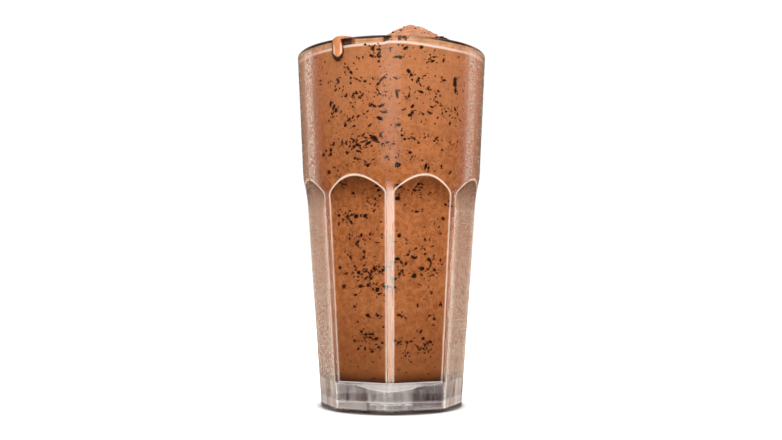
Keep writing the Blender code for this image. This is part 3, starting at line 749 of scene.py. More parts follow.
def wall_chip(bag, angle, height, length, width, tilt, tone, rng, proud=0.00007):
    """A crumb that lies against the inner wall of the tumbler."""
    r = float(inner_radius(height)) + INTO_WALL + proud
    centre = Vector(polar(angle, r, height))
    side = Vector((math.cos(angle), math.sin(angle), 0))
    slope = float(inner_radius(height + 0.0005) - inner_radius(height - 0.0005)) / 0.001
    up = Vector((math.sin(angle) * slope, -math.cos(angle) * slope, 1)).normalized()
    n = side.cross(up).normalized()
    if n.dot(Vector((math.sin(angle), -math.cos(angle), 0))) < 0:
        n = -n
    t = math.radians(tilt)
    u = side * math.cos(t) + up * math.sin(t)
    v = up * math.cos(t) - side * math.sin(t)
    chip(bag[0], bag[1], bag[2], centre, u, v, n, length, width, 0.00030, tone, rng)


def with_tones(obj, tones):
    layer = obj.data.attributes.new("tone", "FLOAT", "POINT")
    layer.data.foreach_set("value", np.array(tones, np.float32))
    return obj


def build_flecks():
    rng = random.Random(41)
    bag = ([], [], [])
    for angle, height, length, width, tilt, tone in FRONT_FLECKS:
        wall_chip(bag, math.radians(angle), height / 1000, length * 0.00138, width * 0.00155, tilt, tone * 0.55, rng)
        if length > 1.15 and tone < 0.3:      # biscuit that has softened round the crumb
            wall_chip(bag, math.radians(angle), height / 1000, (length * 1.28 + 0.5) / 1000, (width * 1.42 + 0.45) / 1000,
                      tilt, 0.72, rng, proud=0.00003)
        # smaller pieces lie round most of them
        if tone < 0.5 and length > 0.85:
            for _ in range(rng.choice((2, 2, 3, 4, 5))):
                size = rng.choice((0.35, 0.45, 0.55, 0.7, 0.9)) / 1000
                wall_chip(bag, math.radians(angle + rng.gauss(0, 2.6)), height / 1000 + rng.gauss(0, 0.0012), size * rng.uniform(1.2, 2.2),
                          size * 0.8, rng.uniform(0, 180), rng.choice((0.0, 0.1, 0.2, 0.3, 0.45, 0.6)), rng)
    # fine specks between them, and the rest of the way round
    for i in range(1000):
        angle = math.radians(rng.uniform(-75, 75))
        height = mix(0.014, 0.153, rng.random())
        size = rng.choice((0.25, 0.3, 0.35, 0.4, 0.5)) / 1000
        wall_chip(bag, angle, height, size * rng.uniform(1.0, 1.8), size, rng.uniform(0, 180),
                  rng.choice((0.1, 0.3, 0.45, 0.6, 0.7, 0.8)), rng)
    for k in range(62):
        angle = math.radians(180 + rng.uniform(-112, 112))
        height = mix(0.020, 0.152, rng.random())
        spread = rng.uniform(1.5, 5.0) / 1000
        for i in range(rng.randint(3, 11)):
            a = angle + rng.gauss(0, spread) / 0.036
            h = min(max(height + rng.gauss(0, spread * 0.6), 0.014), 0.154)
            length = rng.choice((0.6, 0.8, 1.0, 1.2, 1.5, 1.8, 2.2)) / 1000
            width = min(length, rng.uniform(0.4, 1.0) / 1000)
            wall_chip(bag, a, h, length, width, rng.uniform(0, 180), rng.choice((0.0, 0.05, 0.1, 0.2, 0.4)), rng)
    for i in range(420):
        angle = math.radians(180 + rng.uniform(-108, 108))
        height = mix(0.014, 0.154, rng.random())
        size = rng.uniform(0.25, 0.7) / 1000
        wall_chip(bag, angle, height, size * rng.uniform(1.0, 2.2), size, rng.uniform(0, 180),
                  rng.choice((0.1, 0.3, 0.45, 0.6, 0.75)), rng)
    return with_tones(new_mesh("biscuit_flecks", bag[0], bag[1], False), bag[2])


flecks = build_flecks()
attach(flecks, "root")


# ------------------------------------------------------------------ crumbs on the heap and the lip
def crumb(bag, centre, size, rng, tone, flat=0.6, frame_axes=None):
    """An angular crumb: a small lumpy solid with ten faces or so."""
    base = len(bag[0])
    axes = frame_axes or (Vector((1, 0, 0)), Vector((0, 1, 0)), Vector((0, 0, 1)))
    turn = rng.uniform(0, math.pi)
    u = axes[0] * math.cos(turn) + axes[1] * math.sin(turn)
    v = axes[1] * math.cos(turn) - axes[0] * math.sin(turn)
    w = axes[2]
    stretch = rng.uniform(1.0, 1.7)
    sides = 6
    for level, shrink in ((-0.5, 0.7), (0.0, 1.0), (0.5, 0.62)):
        for i in range(sides):
            a = 2 * math.pi * i / sides + level
            r = size / 2 * shrink * rng.uniform(0.75, 1.15)
            bag[0].append(centre + u * (math.cos(a) * r * stretch) + v * (math.sin(a) * r)
                          + w * (level * size * flat * rng.uniform(0.8, 1.2)))
            bag[2].append(tone)
    for k in range(2):
        for i in range(sides):
            j = (i + 1) % sides
            bag[1].append((base + k * sides + i, base + k * sides + j, base + (k + 1) * sides + j, base + (k + 1) * sides + i))
    bag[1].append(tuple(base + i for i in reversed(range(sides))))
    bag[1].append(tuple(base + 2 * sides + i for i in range(sides)))


def share_at(x, y):
    """Share (0 summit, 1 wall) and angle whose top point is nearest above x, y."""
    wall = float(inner_radius(LEVEL_Z)) + INTO_WALL
    s, t = 0.5, math.atan2(x, -y)
    for _ in range(40):
        lean = max(1 - s, 0.0) ** 1.15
        dx, dy = x - PEAK[0] * lean, y - PEAK[1] * lean
        s = mix(s, min(math.hypot(dx, dy) / wall, 1.0), 0.6)
        t = math.atan2(dx, -dy)
    return t, s


def build_crumbs():
    rng = random.Random(7)
    bag = ([], [], [])

    def on_heap(x, y, size, tone, sink=0.25):
        t, s = share_at(x, y)
        p = Vector(top_point(t, s))
        crumb(bag, p + Vector((0, 0, size * (0.5 - sink) * 0.6)), size, rng, tone)

    # the ones that the photograph shows: near the summit, and on the right flank
    for x, y, size, tone in (
            (0.0060, -0.0006, 0.0013, 0.0), (0.0066, 0.0002, 0.0010, 0.1), (0.0046, -0.0030, 0.0006, 0.4), (0.0125, -0.0040, 0.0006, 0.5),
            (0.0170, -0.0010, 0.0008, 0.1),
            (0.0205, -0.0080, 0.0008, 0.1), (0.0228, -0.0100, 0.0007, 0.2), (0.0236, -0.0060, 0.0009, 0.1),
            (0.0150, -0.0020, 0.0005, 0.5), (0.0180, -0.0050, 0.0006, 0.3)):
        on_heap(x, y, size, tone)
    # and scattered over the rest of the top
    for i in range(150):
        a, s = rng.uniform(0, 2 * math.pi), math.sqrt(rng.uniform(0.01, 0.93))
        p = top_point(a, s)
        size = rng.choice((0.35, 0.45, 0.5, 0.6, 0.8, 1.0, 1.3)) / 1000
        on_heap(p[0], p[1], size, rng.choice((0.0, 0.05, 0.15, 0.3, 0.5, 0.7)), rng.uniform(0.25, 0.45))
    # loose crumbs on the lip at the right
    for angle, size, tone in ((28.0, 0.0009, 0.0), (29.2, 0.0011, 0.0), (30.6, 0.0010, 0.05), (31.4, 0.0015, 0.0), (32.6, 0.0016, 0.05),
                              (33.7, 0.0014, 0.0), (34.6, 0.0011, 0.1), (35.8, 0.0007, 0.2), (26.0, 0.0006, 0.2)):
        a = math.radians(angle)
        r = RIM_R - LIP_R + rng.uniform(-0.0006, 0.0001)
        h = LIP_Z + math.sqrt(max(LIP_R ** 2 - (r - RIM_R + LIP_R) ** 2, 0))
        crumb(bag, Vector(polar(a, r, h + size * 0.22)), size, rng, tone)
    return with_tones(new_mesh("biscuit_crumbs", bag[0], bag[1], False), bag[2])


crumbs = build_crumbs()
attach(crumbs, "root")


# ------------------------------------------------------------------ condensation
def build_droplets():
    """Fine droplets on the outside, thickest away from the front."""
    rng = random.Random(19)
    verts, faces = [], []
    want, made, tries = 3400, 0, 0
    cells = {}
    while made < want and tries < 120000:
        tries += 1
        angle = rng.uniform(-math.pi, math.pi)
        z = mix(0.0145, 0.1535, rng.random())
        away = abs(angle)
        share = float(smooth((away - math.radians(54)) / math.radians(20)))
        if z < WAIST_Z:
            ridge = abs((math.degrees(angle) + 22.5) % 45 - 22.5)
            share *= 0.95 if ridge > 3.2 else 0.35
        share *= 0.55 + 0.9 * (noise.noise(Vector((angle * 3, z * 90, 0.5))) + 0.1)
        if rng.random() > share:
            continue
        a = rng.choice((0.15, 0.17, 0.19, 0.22, 0.25, 0.28, 0.34)) / 1000
        r = float(glass_radius(angle, z))
        cell = (int(angle * r / 0.0006), int(z / 0.0006))
        if any((cell[0] + i, cell[1] + j) in cells and
               math.hypot((cells[(cell[0] + i, cell[1] + j)][0] - angle) * r, cells[(cell[0] + i, cell[1] + j)][1] - z)
               < a + cells[(cell[0] + i, cell[1] + j)][2] for i in (-1, 0, 1) for j in (-1, 0, 1)):
            continue
        cells[cell] = (angle, z, a)
        p = Vector(polar(angle, r, z))
        e = 0.0004
        du = Vector(polar(angle + e / r, float(glass_radius(angle + e / r, z)), z)) - \
            Vector(polar(angle - e / r, float(glass_radius(angle - e / r, z)), z))
        dz = Vector(polar(angle, float(glass_radius(angle, z + e)), z + e)) - \
            Vector(polar(angle, float(glass_radius(angle, z - e)), z - e))
        u, n = du.normalized(), du.cross(dz).normalized()
        v = n.cross(u)
        base = len(verts)
        tall = a * rng.uniform(0.5, 0.7)
        sides = 7
        for rr, h in ((1.0, -0.000015), (0.93, tall * 0.35), (0.6, tall * 0.82)):
            for i in range(sides):
                w = 2 * math.pi * i / sides
                verts.append(p + u * (math.cos(w) * a * rr) + v * (math.sin(w) * a * rr * 1.08) + n * h)
        verts.append(p + n * tall)
        for k in range(2):
            for i in range(sides):
                j = (i + 1) % sides
                faces.append((base + k * sides + i, base + k * sides + j, base + (k + 1) * sides + j, base + (k + 1) * sides + i))
        for i in range(sides):
            faces.append((base + 2 * sides + i, base + 2 * sides + (i + 1) % sides, base + 3 * sides))
        faces.append(tuple(base + i for i in reversed(range(sides))))
        made += 1
    return new_mesh("condensation", verts, faces)


DROPLETS = True
if DROPLETS:
    droplets = build_droplets()
    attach(droplets, "root")


# ------------------------------------------------------------------ materials
def glass_material():
    """Clear pressed glass.  Its moulded edges carry pale painted highlights that glow a little, the overhang above each
    panel has painted shade, and away from the front chilled condensation dulls it, with painted glints, a painted
    highlight streak and painted shade on the right.  In the thick foot a grey tint carries painted light and shade."""
    mat, n, sh = new_material("clear_pressed_glass")
    coord = n.add("ShaderNodeTexCoord").outputs["Object"]
    xyz = n.add("ShaderNodeSeparateXYZ", Vector=coord)
    z = xyz.outputs["Z"]
    gap = n.add("ShaderNodeAttribute", _attribute_name="gap_mm").outputs["Fac"]
    away = n.add("ShaderNodeAttribute", _attribute_name="away_deg").outputs["Fac"]
    grain = n.noise(1800, 1.0, 0.5, coord)
    cloud = n.noise(90, 2.0, 0.5, coord)

    def between(value, a, b, low=0.0, high=1.0):
        return n.add("ShaderNodeMapRange", Value=value, From__Min=a, From__Max=b, To__Min=low, To__Max=high).outputs[0]

    def times(*values):
        total = values[0]
        for value in values[1:]:
            total = n.math("MULTIPLY", total, value)
        return total

    # painted highlight: pale lines along the edges between panels, ridges and band
    near = n.math("DIVIDE", gap, 0.15)
    line = n.math("EXPONENT", times(near, near, -1.0))
    streak = n.noise(130, 3.0, 0.6, coord)
    line = n.math("MULTIPLY", line, times(between(z, 0.0890, 0.0965, 0.62, 1.0),
                                          n.math("ADD", 0.35, n.math("MULTIPLY", streak, 1.3))), clamp=True)
    line = times(line, between(z, 0.0110, 0.0150, 0.35, 1.0))
    # painted shade: a deeper tone under each arch
    under = n.math("EXPONENT", times(n.math("MAXIMUM", gap, 0.0), -0.48))
    deep = times(under, between(z, 0.0865, 0.0950), between(gap, 0.05, 0.22), between(gap, 8.0, 7.5))
    # fine condensation, which shows where the glass turns away from the eye; its colour carries painted glints, a
    # painted highlight streak and painted shade on the right
    is_band = between(gap, 0.1, -0.7)
    not_band = n.math("SUBTRACT", 1.0, is_band)
    facing = n.add("ShaderNodeLayerWeight", Blend=0.5).outputs["Facing"]
    on_side = between(facing, 0.44, 0.54)
    beside = n.math("ABSOLUTE", n.math("SUBTRACT", n.math("MODULO", n.math("ADD", away, 22.5), 45.0), 22.5))
    outer = times(between(beside, 11.0, 4.0), between(z, 0.104, 0.098), on_side)
    dew_and_glints = n.math("ADD", times(on_side, not_band), times(between(facing, 0.28, 0.40), is_band), clamp=True)
    dew_and_glints = times(dew_and_glints, between(z, 0.010, 0.016), between(z, GLASS_H - 0.0012, GLASS_H - 0.0030))
    speck = between(grain, 0.46, 0.54)
    turn = n.math("ARCTAN2", xyz.outputs["X"], n.math("MULTIPLY", xyz.outputs["Y"], -1.0))
    turn = n.math("ADD", n.math("DIVIDE", turn, 2 * math.pi), 0.5)

    def all_round(stops):
        return n.ramp(turn, [(deg / 360 + 0.5, tint if isinstance(tint, tuple) else (tint,) * 3) for deg, tint in stops])

    right = between(xyz.outputs["X"], -0.01, 0.01)
    # painted highlight: a bright streak where the glass turns from the eye, weaker on the right
    highlight_streak = n.ramp(n.math("ADD", facing, times(right, 0.05)),
                     [(at, (v, v, v)) for at, v in ((0.36, 0.0), (0.46, 0.22), (0.53, 0.92), (0.62, 0.92), (0.68, 0.32), (0.76, 0.12), (0.92, 0.08))])
    highlight_streak = times(highlight_streak, n.math("SUBTRACT", 1.0, times(right, 0.38)))
    dew_and_streak = n.math("ADD", times(is_band, highlight_streak), times(not_band, n.math("ADD", between(z, 0.075, 0.025, 0.56, 0.86), times(outer, 0.35))), clamp=True)
    # colour: clear, cream painted highlight on the lines, brown painted shade under the arches, a grey tint with
    # painted light and shade in the thick foot
    colour = n.blend(line, (0.985, 0.988, 0.99), (1.0, 0.76, 0.56))
    # painted glints: cream grains with darker gaps between them
    dew_glint_colour = n.blend(is_band, n.blend(speck, (0.62, 0.22, 0.11), (1.0, 0.77, 0.58)), n.blend(speck, (0.52, 0.18, 0.09), (1.0, 0.74, 0.55)))
    # painted shade: the condensation is darker on the right
    dew_glint_colour = n.blend(times(right, not_band), dew_glint_colour, (0.80, 0.76, 0.70), "MULTIPLY")
    # painted highlight: cream condensation beside the ridges at the foot of the band
    dew_glint_colour = n.blend(times(outer, 0.7), dew_glint_colour, (1.0, 0.84, 0.66))
    colour = n.blend(times(dew_and_glints, 0.8), colour, dew_glint_colour)
    dew_and_streak = times(dew_and_streak, n.math("SUBTRACT", 1.0, times(deep, 0.85)))
    # the painted shade under the arches is a little lighter on the right
    deep = times(deep, between(xyz.outputs["X"], -0.002, 0.002, 0.98, 0.79))
    colour = n.blend(deep, colour, (0.032, 0.013, 0.006))
    # painted shade: the round parts darken where they turn away near the outline
    colour = n.blend(times(between(facing, 0.66, 0.88), between(gap, 0.0, -0.9), 0.88), colour, (0.17, 0.066, 0.038))
    top_edge = between(z, GLASS_H - 0.00048, GLASS_H - 0.00028)
    colour = n.blend(times(top_edge, between(away, 20.0, 10.0, 0.78, 0.97)), colour, (0.030, 0.010, 0.004))
    # painted light and shade in the thick foot: a grey tint, paler at the front, darker either side of it and darkest
    # on the right, with pale lines at 45 degrees and an even grey at the back
    side, edge = (0.72, 0.56, 0.48), (1.0, 0.95, 0.90)
    high = all_round(((-180, (0.60, 0.56, 0.55)), (-95, (0.62, 0.57, 0.55)), (-75, side), (-48, side), (-46, edge), (-44.6, edge),
                           (-43.4, (0.48, 0.41, 0.41)), (-19, (0.47, 0.40, 0.40)), (-17, (0.98, 0.93, 0.92)),
                           (17, (0.98, 0.93, 0.92)), (19, (0.165, 0.136, 0.142)), (43.4, (0.145, 0.120, 0.125)), (44.6, edge),
                           (46, edge), (48, side), (75, side), (95, (0.62, 0.57, 0.55)), (180, (0.60, 0.56, 0.55))))
    low = all_round(((-180, (0.60, 0.56, 0.55)), (-95, (0.62, 0.57, 0.55)), (-75, side), (-48, side), (-46, edge), (-44.6, edge),
                          (-43.4, (0.70, 0.63, 0.57)), (-19, (0.78, 0.71, 0.65)), (-17, (1.0, 0.94, 0.91)),
                          (17, (0.98, 0.92, 0.89)), (19, (0.48, 0.43, 0.43)), (43.4, (0.40, 0.355, 0.36)), (44.6, edge),
                          (46, edge), (48, side), (75, side), (95, (0.62, 0.57, 0.55)), (180, (0.60, 0.56, 0.55))))
    foot_tint_and_shade = n.blend(between(n.math("ADD", z, times(n.math("SUBTRACT", cloud, 0.5), 0.0012)), 0.0048, 0.0056), low, high)
    foot_tint_and_shade = n.blend(0.5, foot_tint_and_shade, n.ramp(n.noise(160, 2.0, 0.5, coord), ((0.35, (0.52, 0.48, 0.49)), (0.65, (0.86, 0.83, 0.82)))), "OVERLAY")
    # painted highlight: a pale band low in the foot
    foot_tint_and_shade = n.blend(times(between(z, 0.0012, 0.0015), between(z, 0.0024, 0.0020), 0.6), foot_tint_and_shade, (1.0, 0.97, 0.95))
    # painted highlight: the pale lens below the drink, at the front, with painted shade below it
    bow = n.math("POWER", n.math("DIVIDE", away, 44.0), 1.5)
    bow = n.math("ADD", 0.0098, times(bow, 0.0034))
    lens = times(between(n.math("SUBTRACT", z, bow), -0.0002, 0.0002), between(z, 0.01345, 0.01310), between(away, 44.0, 43.4))
    foot_tint_and_shade = n.blend(lens, foot_tint_and_shade, n.blend(between(away, 27.0, 22.0), (0.50, 0.44, 0.42), (0.87, 0.81, 0.75)))
    under_lens = times(between(n.math("SUBTRACT", z, bow), -0.0008, -0.0003), between(away, 44.0, 43.4), n.math("SUBTRACT", 1.0, lens))
    foot_tint_and_shade = n.blend(times(under_lens, between(away, 12.0, 34.0, 0.25, 0.95)), foot_tint_and_shade, (0.075, 0.052, 0.045))
    above = n.math("ABSOLUTE", n.math("SUBTRACT", z, bow))
    # painted highlight: a pale line at the top of the foot and along the lens
    brim = n.math("MAXIMUM", times(between(z, 0.01282, 0.01300), between(z, 0.01345, 0.01325), between(away, 44.0, 43.4)),
                  times(between(above, 0.00030, 0.00012), between(away, 21.0, 18.0), 0.85))
    foot_tint_and_shade = n.blend(brim, foot_tint_and_shade, (1.0, 0.93, 0.86))
    # painted shade: a dark wavy streak low in the foot
    wisp = n.math("SUBTRACT", z, n.math("ADD", 0.0036, times(n.math("SUBTRACT", n.noise(420, 2.0, 0.6, coord), 0.5), 0.0034)))
    wisp = times(between(n.math("ABSOLUTE", wisp), 0.00040, 0.00015), between(cloud, 0.42, 0.50), between(away, 44.5, 43.5), 0.75)
    foot_tint_and_shade = n.blend(wisp, foot_tint_and_shade, (0.20, 0.155, 0.13))
    # painted shade: a dark line below the lens
    dark_line = times(between(n.math("ABSOLUTE", n.math("SUBTRACT", n.math("SUBTRACT", z, bow), -0.00035)), 0.00032, 0.00012),
                      between(away, 20.0, 34.0), between(away, 44.0, 43.4))
    foot_tint_and_shade = n.blend(dark_line, foot_tint_and_shade, (0.045, 0.030, 0.028))
    # painted shade: the rounding at the foot's edge is dark
    foot_tint_and_shade = n.blend(times(between(z, 0.0012, 0.0008), between(z, 0.00002, 0.00012)), foot_tint_and_shade, (0.05, 0.04, 0.036))
    colour = n.blend(between(z, 0.0135, 0.0110), colour, foot_tint_and_shade)
    n.put(sh.inputs["Base Color"], colour)
    # opaque share: the painted highlight lines, and the condensation with its painted glints
    solid = n.math("ADD", times(line, 0.62), times(dew_and_glints, dew_and_streak, n.math("ADD", 0.08, times(speck, 0.92))), clamp=True)
    upright = n.add("ShaderNodeVectorMath", _operation="MULTIPLY")
    n.put(upright.inputs[0], coord)
    upright.inputs[1].default_value = (1.0, 1.0, 0.12)
    streaks = between(n.noise(330, 2.0, 0.6, upright.outputs[0]), 0.40, 0.60)
    in_foot = times(between(z, 0.0160, 0.0120), between(z, 0.0012, 0.0018))
    # painted light: pale streaks in the foot, at the sides and back, in a low band and at the front
    painted_foot_streaks = n.math("ADD", times(between(away, 45.5, 47.5), n.math("ADD", 0.25, times(streaks, 0.5))),
                   times(between(z, 0.0056, 0.0048), between(away, 18.0, 20.0), 0.32), clamp=True)
    painted_foot_streaks = n.math("ADD", painted_foot_streaks, times(between(away, 18.5, 16.5), between(z, 0.0100, 0.0094), n.math("ADD", 0.03, times(streaks, 0.11))), clamp=True)
    # in the foot, the painted streaks, lens, lines and dark streak show as opaque colour
    solid = n.math("MAXIMUM", solid, times(in_foot, n.math("MAXIMUM", painted_foot_streaks, times(lens, between(away, 34.0, 20.0, 0.14, 0.36)))))
    solid = n.math("MAXIMUM", solid, times(in_foot, n.math("MAXIMUM", times(brim, 0.66), n.math("MAXIMUM", times(dark_line, 0.70), times(wisp, 0.6)))))
    n.put(sh.inputs["Transmission Weight"], n.math("SUBTRACT", 1.0, solid, clamp=True))
    # the pale painted highlight lines glow a little
    sh.inputs["Emission Color"].default_value = (1.0, 0.70, 0.46, 1)
    n.put(sh.inputs["Emission Strength"], times(line, between(z, 0.0110, 0.0150), 0.16))
    sh.inputs["IOR"].default_value = 1.5
    rough = n.math("ADD", n.math("ADD", 0.02, times(cloud, 0.035)), times(dew_and_glints, 0.22))
    n.put(sh.inputs["Roughness"], rough)
    # reflections: warm on the ridges, faint on the panels and in the curve below the band
    ridge = times(between(gap, 0.02, -0.02), between(z, 0.0985, 0.0935))
    shine = n.blend(is_band, (0.25, 0.24, 0.23), (0.345, 0.375, 0.375))
    shine = n.blend(n.math("MAXIMUM", times(between(facing, 0.58, 0.80), is_band), times(on_side, not_band)), shine, (0.26, 0.155, 0.11))
    shine = n.blend(ridge, shine, n.blend(between(z, 0.060, 0.020), (1.0, 0.99, 0.90), (1.0, 0.78, 0.60)))
    curve = times(between(z, 0.0888, 0.0900), between(z, 0.1052, 0.1036))
    curve = times(curve, n.math("SUBTRACT", 1.0, times(between(beside, 3.0, 1.8), between(z, 0.0985, 0.0935))))
    shine = n.blend(curve, shine, (0.05, 0.05, 0.05))
    shine = n.blend(between(z, 0.0143, 0.0135), shine, (0.22, 0.21, 0.20))
    n.put(sh.inputs["Specular Tint"], shine)
    wave = n.noise(75, 1.0, 0.4, coord)
    normal = n.bump(wave, 0.06, 0.0005)
    node = n.tree.nodes.new("ShaderNodeBump")
    node.inputs["Distance"].default_value = 0.0003
    n.put(node.inputs["Strength"], times(dew_and_glints, 0.45))
    n.put(node.inputs["Height"], grain)
    n.put(node.inputs["Normal"], normal)
    n.put(sh.inputs["Normal"], node.outputs["Normal"])
    return mat


def water_material():
    mat, n, sh = new_material("water_droplets")
    # painted glints: the droplets are tinted cream and only partly clear
    sh.inputs["Base Color"].default_value = (1.0, 0.80, 0.66, 1)
    sh.inputs["Transmission Weight"].default_value = 0.45
    sh.inputs["IOR"].default_value = 1.33
    coord = n.add("ShaderNodeTexCoord").outputs["Object"]
    rough = n.add("ShaderNodeMapRange", Value=n.noise(400, 1.0, 0.5, coord), To__Min=0.05, To__Max=0.16)
    n.put(sh.inputs["Roughness"], rough.outputs[0])
    return mat


def shake_material(name="chocolate_milkshake", rim=0.0):
    """Creamy chocolate: soft clouds of lighter and darker drink, fine bubbles, a pale painted highlight
    line where its edge meets the wall and another at its foot, painted shade in dark patches on the lip film,
    and a darker tone towards the foot.  On the drip, painted highlight lines and painted shade along its edge."""
    mat, n, sh = new_material(name)
    coord = n.add("ShaderNodeTexCoord").outputs["Object"]
    z = n.add("ShaderNodeSeparateXYZ", Vector=coord).outputs["Z"]
    edge = 9.0 if rim else n.add("ShaderNodeAttribute", _attribute_name="edge_mm").outputs["Fac"]
    clouds = n.noise(42, 3.0, 0.55, coord, 0.6)
    grain = n.noise(900, 2.0, 0.6, coord)
    body = n.ramp(clouds, ((0.30, (0.495, 0.157, 0.046)), (0.52, (0.562, 0.186, 0.056)), (0.72, (0.620, 0.221, 0.074))))
    body = n.blend(0.55, body, n.ramp(n.noise(430, 3.0, 0.7, coord, 0.5), ((0.34, (0.34, 0.098, 0.024)), (0.62, (0.74, 0.285, 0.096)))))
    upper = n.add("ShaderNodeMapRange", Value=z, From__Min=0.097, From__Max=0.142, To__Min=0.0, To__Max=0.42)
    body = n.blend(upper.outputs[0], body, (0.83, 0.385, 0.172))
    low = n.add("ShaderNodeMapRange", Value=z, From__Min=0.055, From__Max=0.016, To__Min=0.0, To__Max=0.72)
    body = n.blend(low.outputs[0], body, (0.31, 0.094, 0.025))
    toe = n.add("ShaderNodeMapRange", Value=z, From__Min=0.0185, From__Max=0.0125, To__Min=0.0, To__Max=0.9)
    body = n.blend(toe.outputs[0], body, (0.12, 0.034, 0.010))
    # the film left on the lip, and the pale painted highlight line below it
    film = n.add("ShaderNodeMapRange", Value=edge, From__Min=0.25, From__Max=0.7)
    tan = n.ramp(n.noise(240, 3.0, 0.6, coord), ((0.35, (0.74, 0.36, 0.18)), (0.62, (1.0, 0.58, 0.32))))
    xyz = n.add("ShaderNodeSeparateXYZ", Vector=coord)
    turn = n.math("MULTIPLY", n.math("ARCTAN2", xyz.outputs["X"], n.math("MULTIPLY", xyz.outputs["Y"], -1.0)), 180 / math.pi)
    patch_noise = n.noise(650, 2.0, 0.5, coord)
    start = n.add("ShaderNodeMapRange", Value=n.math("ABSOLUTE", turn), From__Min=12.0, From__Max=28.0, To__Min=2.25, To__Max=2.68)
    last = n.math("DIVIDE", n.math("SUBTRACT", edge, start.outputs[0]), 0.28, clamp=True)
    tan = n.blend(n.math("MULTIPLY", last, 0.94), tan, (0.045, 0.015, 0.007))

    def patch(start, end, soft, strength, low=0.0, high=0.01):
        a = n.add("ShaderNodeMapRange", Value=turn, From__Min=start - soft, From__Max=start + soft)
        b = n.add("ShaderNodeMapRange", Value=turn, From__Min=end + soft, From__Max=end - soft)
        c = n.add("ShaderNodeMapRange", Value=patch_noise, From__Min=low, From__Max=high)
        return n.math("MULTIPLY", n.math("MULTIPLY", a.outputs[0], b.outputs[0]), n.math("MULTIPLY", c.outputs[0], strength))

    # painted shade: dark patches on the lip film beside the drip and at the front
    shaded_patches = n.math("ADD", patch(-29.5, -22.5, 0.7, 0.93, 0.36, 0.46), patch(-3.6, 1.2, 0.6, 0.95, 0.34, 0.44), clamp=True)
    shaded_patches = n.math("ADD", shaded_patches, patch(3.6, 11.0, 1.0, 0.85, 0.50, 0.58), clamp=True)
    shaded_patches = n.math("ADD", shaded_patches, patch(-34.5, -31.5, 0.8, 0.7, 0.40, 0.50), clamp=True)
    tan = n.blend(shaded_patches, tan, (0.040, 0.012, 0.005))
    body = n.blend(film.outputs[0], body, tan)
    # painted highlight: a pale line along the drink's edge on the wall
    near = n.math("DIVIDE", edge, 0.56)
    near = n.math("MULTIPLY", near, near)
    line = n.math("EXPONENT", n.math("MULTIPLY", n.math("MULTIPLY", near, near), -1.0))
    body = n.blend(line, body, (1.0, 0.80, 0.68))
    # painted highlight: a pale line where the drink meets the floor of the glass
    heel = n.add("ShaderNodeMapRange", Value=z, From__Min=FLOOR_Z + 0.00055, From__Max=FLOOR_Z + 0.00025, To__Min=0.0, To__Max=0.85)
    body = n.blend(heel.outputs[0], body, (0.92, 0.78, 0.68))
    # the pale painted highlight line glows a little
    if not rim:
        sh.inputs["Emission Color"].default_value = (1.0, 0.70, 0.54, 1)
        n.put(sh.inputs["Emission Strength"], n.math("MULTIPLY", line, 0.20))
    # paler and creamier on top, where it is whipped and in the air
    top = n.add("ShaderNodeMapRange", Value=edge, From__Min=7.0, From__Max=7.8)
    whipped = n.ramp(n.noise(330, 4.0, 0.7, coord, 0.5), ((0.36, (0.34, 0.105, 0.032)), (0.50, (0.52, 0.195, 0.074)), (0.64, (0.70, 0.300, 0.130))))
    body = n.blend(top.outputs[0], body, whipped)
    if rim:
        sheen = n.add("ShaderNodeAttribute", _attribute_name="sheen").outputs["Fac"]
        skin = n.add("ShaderNodeAttribute", _attribute_name="skin").outputs["Fac"]
        body = n.blend(0.6, body, (0.60, 0.205, 0.075))
        # on the drip: painted highlight lines, and painted shade along its edge and round the bead
        body = n.blend(n.math("MULTIPLY", sheen, 0.75), body, (1.0, 0.74, 0.58))
        body = n.blend(n.math("MULTIPLY", skin, rim), body, (0.030, 0.009, 0.005))
    n.put(sh.inputs["Base Color"], body)
    if rim:
        sh.inputs["Roughness"].default_value = 0.28
        n.put(sh.inputs["Specular IOR Level"], n.math("SUBTRACT", 0.40, n.math("MULTIPLY", skin, 0.36)))
    else:
        rough = n.add("ShaderNodeMapRange", Value=grain, To__Min=0.36, To__Max=0.52)
        n.put(sh.inputs["Roughness"], rough.outputs[0])
        n.put(sh.inputs["Specular IOR Level"], n.math("ADD", 0.03, n.math("MULTIPLY", top.outputs[0], 0.27)))
    bubbles = n.add("ShaderNodeTexVoronoi", Scale=620.0, Vector=coord)
    pits = n.add("ShaderNodeMapRange", Value=bubbles.outputs["Distance"], From__Min=0.1, From__Max=0.4)
    normal = n.bump(pits.outputs[0], 0.20, 0.00025)
    n.put(sh.inputs["Normal"], n.bump(n.noise(260, 3.0, 0.55, coord), 0.35, 0.0005, normal))
    return mat


def fleck_material():
    mat, n, sh = new_material("dark_biscuit")
    tone = n.add("ShaderNodeAttribute", _attribute_name="tone").outputs["Fac"]
    coord = n.add("ShaderNodeTexCoord").outputs["Object"]
    grain = n.noise(1500, 3.0, 0.6, coord)
    shade = n.math("ADD", tone, n.math("MULTIPLY", n.math("SUBTRACT", grain, 0.5), 0.25), clamp=True)
    colour = n.ramp(shade, ((0.0, (0.026, 0.007, 0.0015)), (0.25, (0.046, 0.013, 0.003)), (0.55, (0.14, 0.042, 0.012)),
                            (0.8, (0.30, 0.095, 0.030)), (1.0, (0.42, 0.140, 0.045))))
    n.put(sh.inputs["Base Color"], colour)
    sh.inputs["Roughness"].default_value = 0.62
    sh.inputs["Specular IOR Level"].default_value = 0.06
    n.put(sh.inputs["Normal"], n.bump(grain, 0.5, 0.0002))
    return mat


GLASS = glass_material()
SHAKE = shake_material()
DRIP = shake_material("chocolate_drip", 0.96)
FLECK = fleck_material()
WATER = water_material()
glass.data.materials.append(GLASS)
shake.data.materials.append(SHAKE)
drip.data.materials.append(DRIP)
flecks.data.materials.append(FLECK)
crumbs.data.materials.append(FLECK)
if DROPLETS:
    droplets.data.materials.append(WATER)

